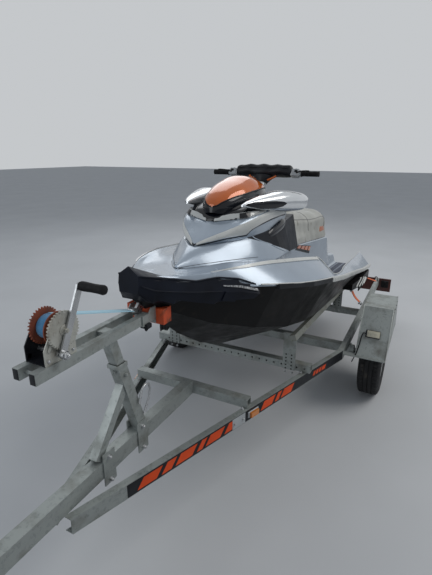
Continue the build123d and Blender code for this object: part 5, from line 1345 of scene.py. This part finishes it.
def post_x(z):
    return POST_FOOT_X + (z - DRAWBAR_TOP) * (POST_HEAD_X - POST_FOOT_X) / (BEAM_BOTTOM - DRAWBAR_TOP)


bm = bmesh.new()
block(bm, trailer(post_x(COLLAR_Z), 0, COLLAR_Z), WORLD_AXES, (0.064, 0.060, 0.020), 0.003)
bolt(bm, trailer(post_x(870) + 30, 0, 870), AHEAD, 0.011, 0.009)
bolt(bm, trailer(post_x(846), 26, 846), PORT, 0.010, 0.008)
piece("post_collar", bm, "zinc")
bm = bmesh.new()
tube(bm, [trailer(x, 36, z) for x, z in LOOP], 0.005, 10)
piece("rod_loop", bm, "steel", sharp=60)

# Black clamps under the winch beam and caps in its ends
CLAMP_X, CLAMP_Y, BEAM_END_X, BEAM_BAR_Y, BEAM_MIDDLE_Z = 1712, 53, 2289.5, 39, 1059
bm = bmesh.new()
for way in BOTH:
    block(bm, trailer(CLAMP_X, way * CLAMP_Y, 1030), WORLD_AXES, (0.034, 0.040, 0.022), 0.004)
    bolt(bm, trailer(CLAMP_X, way * CLAMP_Y, 1019), -UP, 0.010, 0.010)
    block(bm, trailer(BEAM_END_X, way * BEAM_BAR_Y, BEAM_MIDDLE_Z), WORLD_AXES, (0.004, 0.025, 0.039), 0.002)
piece("beam_clamps", bm, "satin")

# Rear lamps: dark housings with bolts on the front of the board
BOARD_FRONT_X, HOUSING_X, HOUSING_Y, HOUSING_FACE_X = -1593, -1578, 742, -1563.5
bm = bmesh.new()
for way in BOTH:
    block(bm, trailer(HOUSING_X, way * HOUSING_Y, 392), WORLD_AXES, (0.030, 0.072, 0.074), 0.008)
    for z in (366, 418):
        bolt(bm, trailer(HOUSING_FACE_X, way * HOUSING_Y, z), AHEAD, 0.010, 0.010)
    for y in (520, 640):
        bolt(bm, trailer(BOARD_FRONT_X, way * y, 420), AHEAD, 0.009, 0.008)
piece("rear_lamp_housings", bm, "grip")

# Orange tie-down web with its dark buckle between the rear beam and the hull
bm, buckles = bmesh.new(), bmesh.new()
for way in BOTH:
    top, foot = trailer(REAR_BEAM_X, way * 540, 552), trailer(REAR_BEAM_X, way * 622, 448)
    run = (foot - top).normalized()
    out = run.cross(AHEAD).normalized()
    rings = []
    for s in range(13):
        t = s / 12
        centre = top.lerp(foot, t) + out * (0.010 * math.sin(math.pi * t))
        wide = 0.030 - 0.012 * t
        rings.append([centre + AHEAD * (wide * a) + out * (0.0018 * b)
                      for a, b in ((-1, -1), (1, -1), (1, 1), (-1, 1))])
    ring_faces(bm, rings)
    block(buckles, top - run * 0.012, (AHEAD, run, out), (0.072, 0.034, 0.020), 0.005)
    block(buckles, foot + run * 0.008, (AHEAD, run, out), (0.046, 0.026, 0.012), 0.003)
piece("tie_down_webs", bm, "strap_orange")
piece("tie_down_buckles", buckles, "steel")

# Stern: pump bands, lamp frames and reflectors
PUMP_Z, PUMP_RADIUS, PUMP_BAND_X, PUMP_MIDDLE_X, PUMP_END_X = 152, 0.092, -1050, -1180, -1262
bm = bmesh.new()
for x in (PUMP_BAND_X, PUMP_MIDDLE_X):
    lathe(bm, craft(x, 0, PUMP_Z), FORWARD, [(-0.009, PUMP_RADIUS - 0.001), (-0.007, PUMP_RADIUS + 0.0035),
                                             (0.007, PUMP_RADIUS + 0.0035), (0.009, PUMP_RADIUS - 0.001)], 56)
for k in range(6):
    a = math.pi * (k + 0.5) / 3
    out = PORT * math.cos(a) + UPWARD * math.sin(a)
    bolt(bm, craft(PUMP_END_X, 0, PUMP_Z) + out * (PUMP_RADIUS - 0.001), out, 0.008, 0.006)
    bolt(bm, craft(PUMP_BAND_X, 0, PUMP_Z) + out * (PUMP_RADIUS + 0.003), out, 0.006, 0.004)
piece("pump_bands", bm, "cast")

REAR_LAMP_X, REAR_LAMP_Y, REAR_LAMP_Z, LENS_X = -1627, 705, 375, -1648.6
# Route (x, y, z) of each rear lamp's cable, over the board and ahead along the rail
REAR_CABLE = ((-1607, 640, 380), (-1600, 636, 455), (-1585, 650, 462), (-1560, 668, 452), (-1470, 674, 449))
bm = bmesh.new()
for way in BOTH:
    block(bm, trailer(REAR_LAMP_X, way * REAR_LAMP_Y, REAR_LAMP_Z), WORLD_AXES, (0.036, 0.179, 0.099), 0.004)
    tube(bm, [trailer(x, way * y, z) for x, y, z in REAR_CABLE], 0.0045, 8)
piece("rear_lamp_frames", bm, "grip")
for material, near, far in (("amber", 737, 788), ("cream", 622, 656)):
    bm = bmesh.new()
    for way in BOTH:
        block(bm, trailer(LENS_X, way * (near + far) / 2, REAR_LAMP_Z), WORLD_AXES,
              (0.004, (far - near) / 1000, 0.086), 0.0012)
    piece("rear_lenses_" + material, bm, material)
bm = bmesh.new()
for way in BOTH:
    rings = [[trailer(x, way * 500 + dy * size, 362 + dz * size)
              for dy, dz in ((-66, -34), (66, -34), (0, 72))]
             for x, size in ((-1606.4, 1.0), (-1609.5, 1.0), (-1611, 0.95))]
    ring_faces(bm, rings)
piece("rear_reflectors", bm, "red", sharp=20)

# Coupling bolts, jockey clamp bolts and wheel hubs
COUPLING_BOLTS_X, COUPLING_TOP, JOCKEY_CLAMP = (2932.5, 2970.5), 531, 37
bm = bmesh.new()
for x in COUPLING_BOLTS_X:
    for y in (-15, 15):
        bolt(bm, trailer(x, y, COUPLING_TOP), UP, 0.008, 0.007)
for z in (468, 503):
    bolt(bm, trailer(JOCKEY_X + JOCKEY_CLAMP, -45, z), AHEAD, 0.009, 0.009)
    bolt(bm, trailer(JOCKEY_X - JOCKEY_CLAMP, -45, z), -AHEAD, 0.009, 0.005)
piece("coupling_bolts", bm, "steel")
bm = bmesh.new()
for z, tall in ((800, 0.015), (345, 0.011)):
    lathe(bm, trailer(JOCKEY_X, JOCKEY_Y, z), UP, [(0, 0.0240), (0.001, 0.0262), (tall - 0.001, 0.0262),
                                                   (tall, 0.0240)], 36)
piece("jockey_tube_bands", bm, "steel")
bm = bmesh.new()
for way in BOTH:
    lathe(bm, ROLLER + PORT * (way * 0.0245), PORT * way,
          [(0, 0.062), (0.0022, 0.060), (0.0022, 0.050), (0.0008, 0.047), (0.0008, 0.030), (0.003, 0.026),
           (0.003, 0.012)], 40)
piece("jockey_hubs", bm, "pale_grey", "jockey_roller", 30)

# Stage, light and camera
floor_mesh = bpy.data.meshes.new("floor")
floor_mesh.from_pydata([(-40, -40, 0), (40, -40, 0), (40, 40, 0), (-40, 40, 0)], [], [(0, 1, 2, 3)])
floor = bpy.data.objects.new("floor", floor_mesh)
bpy.context.scene.collection.objects.link(floor)
floor_mat, nt, bsdf = node_tree("floor_pale")
tone = texture(nt, "ShaderNodeTexNoise", 1.2, 3)
floor_tone = ramp(nt, tone.outputs["Fac"], [(0.3, (0.50, 0.51, 0.52)), (0.7, (0.54, 0.55, 0.56))])
nt.links.new(floor_tone.outputs["Color"], bsdf.inputs["Base Color"])
bsdf.inputs["Roughness"].default_value = 0.85
floor_mesh.materials.append(floor_mat)

world = bpy.data.worlds.new("studio")
bpy.context.scene.world = world
world.use_nodes = True
wt = world.node_tree
background = wt.nodes["Background"]
background.inputs["Color"].default_value = (0.80, 0.87, 0.96, 1)
background.inputs["Strength"].default_value = 0.38
shown = wt.nodes.new("ShaderNodeBackground")
shown.inputs["Color"].default_value = (0.90, 0.93, 0.96, 1)
shown.inputs["Strength"].default_value = 0.62
path = wt.nodes.new("ShaderNodeLightPath")
chosen = wt.nodes.new("ShaderNodeMixShader")
straight = path.outputs["Is Camera Ray"]
for kind in ("Is Glossy Ray", "Is Transmission Ray"):
    either = wt.nodes.new("ShaderNodeMath")
    either.operation = "MAXIMUM"
    wt.links.new(straight, either.inputs[0])
    wt.links.new(path.outputs[kind], either.inputs[1])
    straight = either.outputs["Value"]
wt.links.new(straight, chosen.inputs["Fac"])
wt.links.new(background.outputs["Background"], chosen.inputs[1])
wt.links.new(shown.outputs["Background"], chosen.inputs[2])
wt.links.new(chosen.outputs["Shader"], wt.nodes["World Output"].inputs["Surface"])


def area_light(name, place, aim, size, power, colour=(1, 1, 1)):
    data = bpy.data.lights.new(name, "AREA")
    data.shape = "DISK"
    data.size = size
    data.energy = power
    data.color = colour
    lamp = bpy.data.objects.new(name, data)
    lamp.location = place
    lamp.rotation_euler = (Vector(aim) - Vector(place)).to_track_quat("-Z", "Y").to_euler()
    bpy.context.scene.collection.objects.link(lamp)


area_light("key", (-2.6, 5.2, 6.5), (0, 0, 0.6), 5.5, 270, (1.0, 0.98, 0.95))
area_light("rim", (-5.0, -3.0, 5.5), (0, 0, 0.7), 5.5, 100, (0.94, 0.97, 1.0))
area_light("fill", (5.5, -3.5, 3.0), (0.3, 0, 0.7), 4.5, 80, (0.92, 0.96, 1.0))

camera_data = bpy.data.cameras.new("camera")
camera_data.sensor_fit = "HORIZONTAL"
camera_data.sensor_width = 36
camera_data.lens = FOCAL_PIXELS / 432 * 36
camera_data.clip_end = 200
camera = bpy.data.objects.new("camera", camera_data)
camera.location = CAMERA_PLACE
camera.rotation_euler = LOOK.to_track_quat("-Z", "Y").to_euler()
bpy.context.scene.collection.objects.link(camera)
bpy.context.scene.camera = camera
bpy.context.scene.view_settings.view_transform = "Standard"
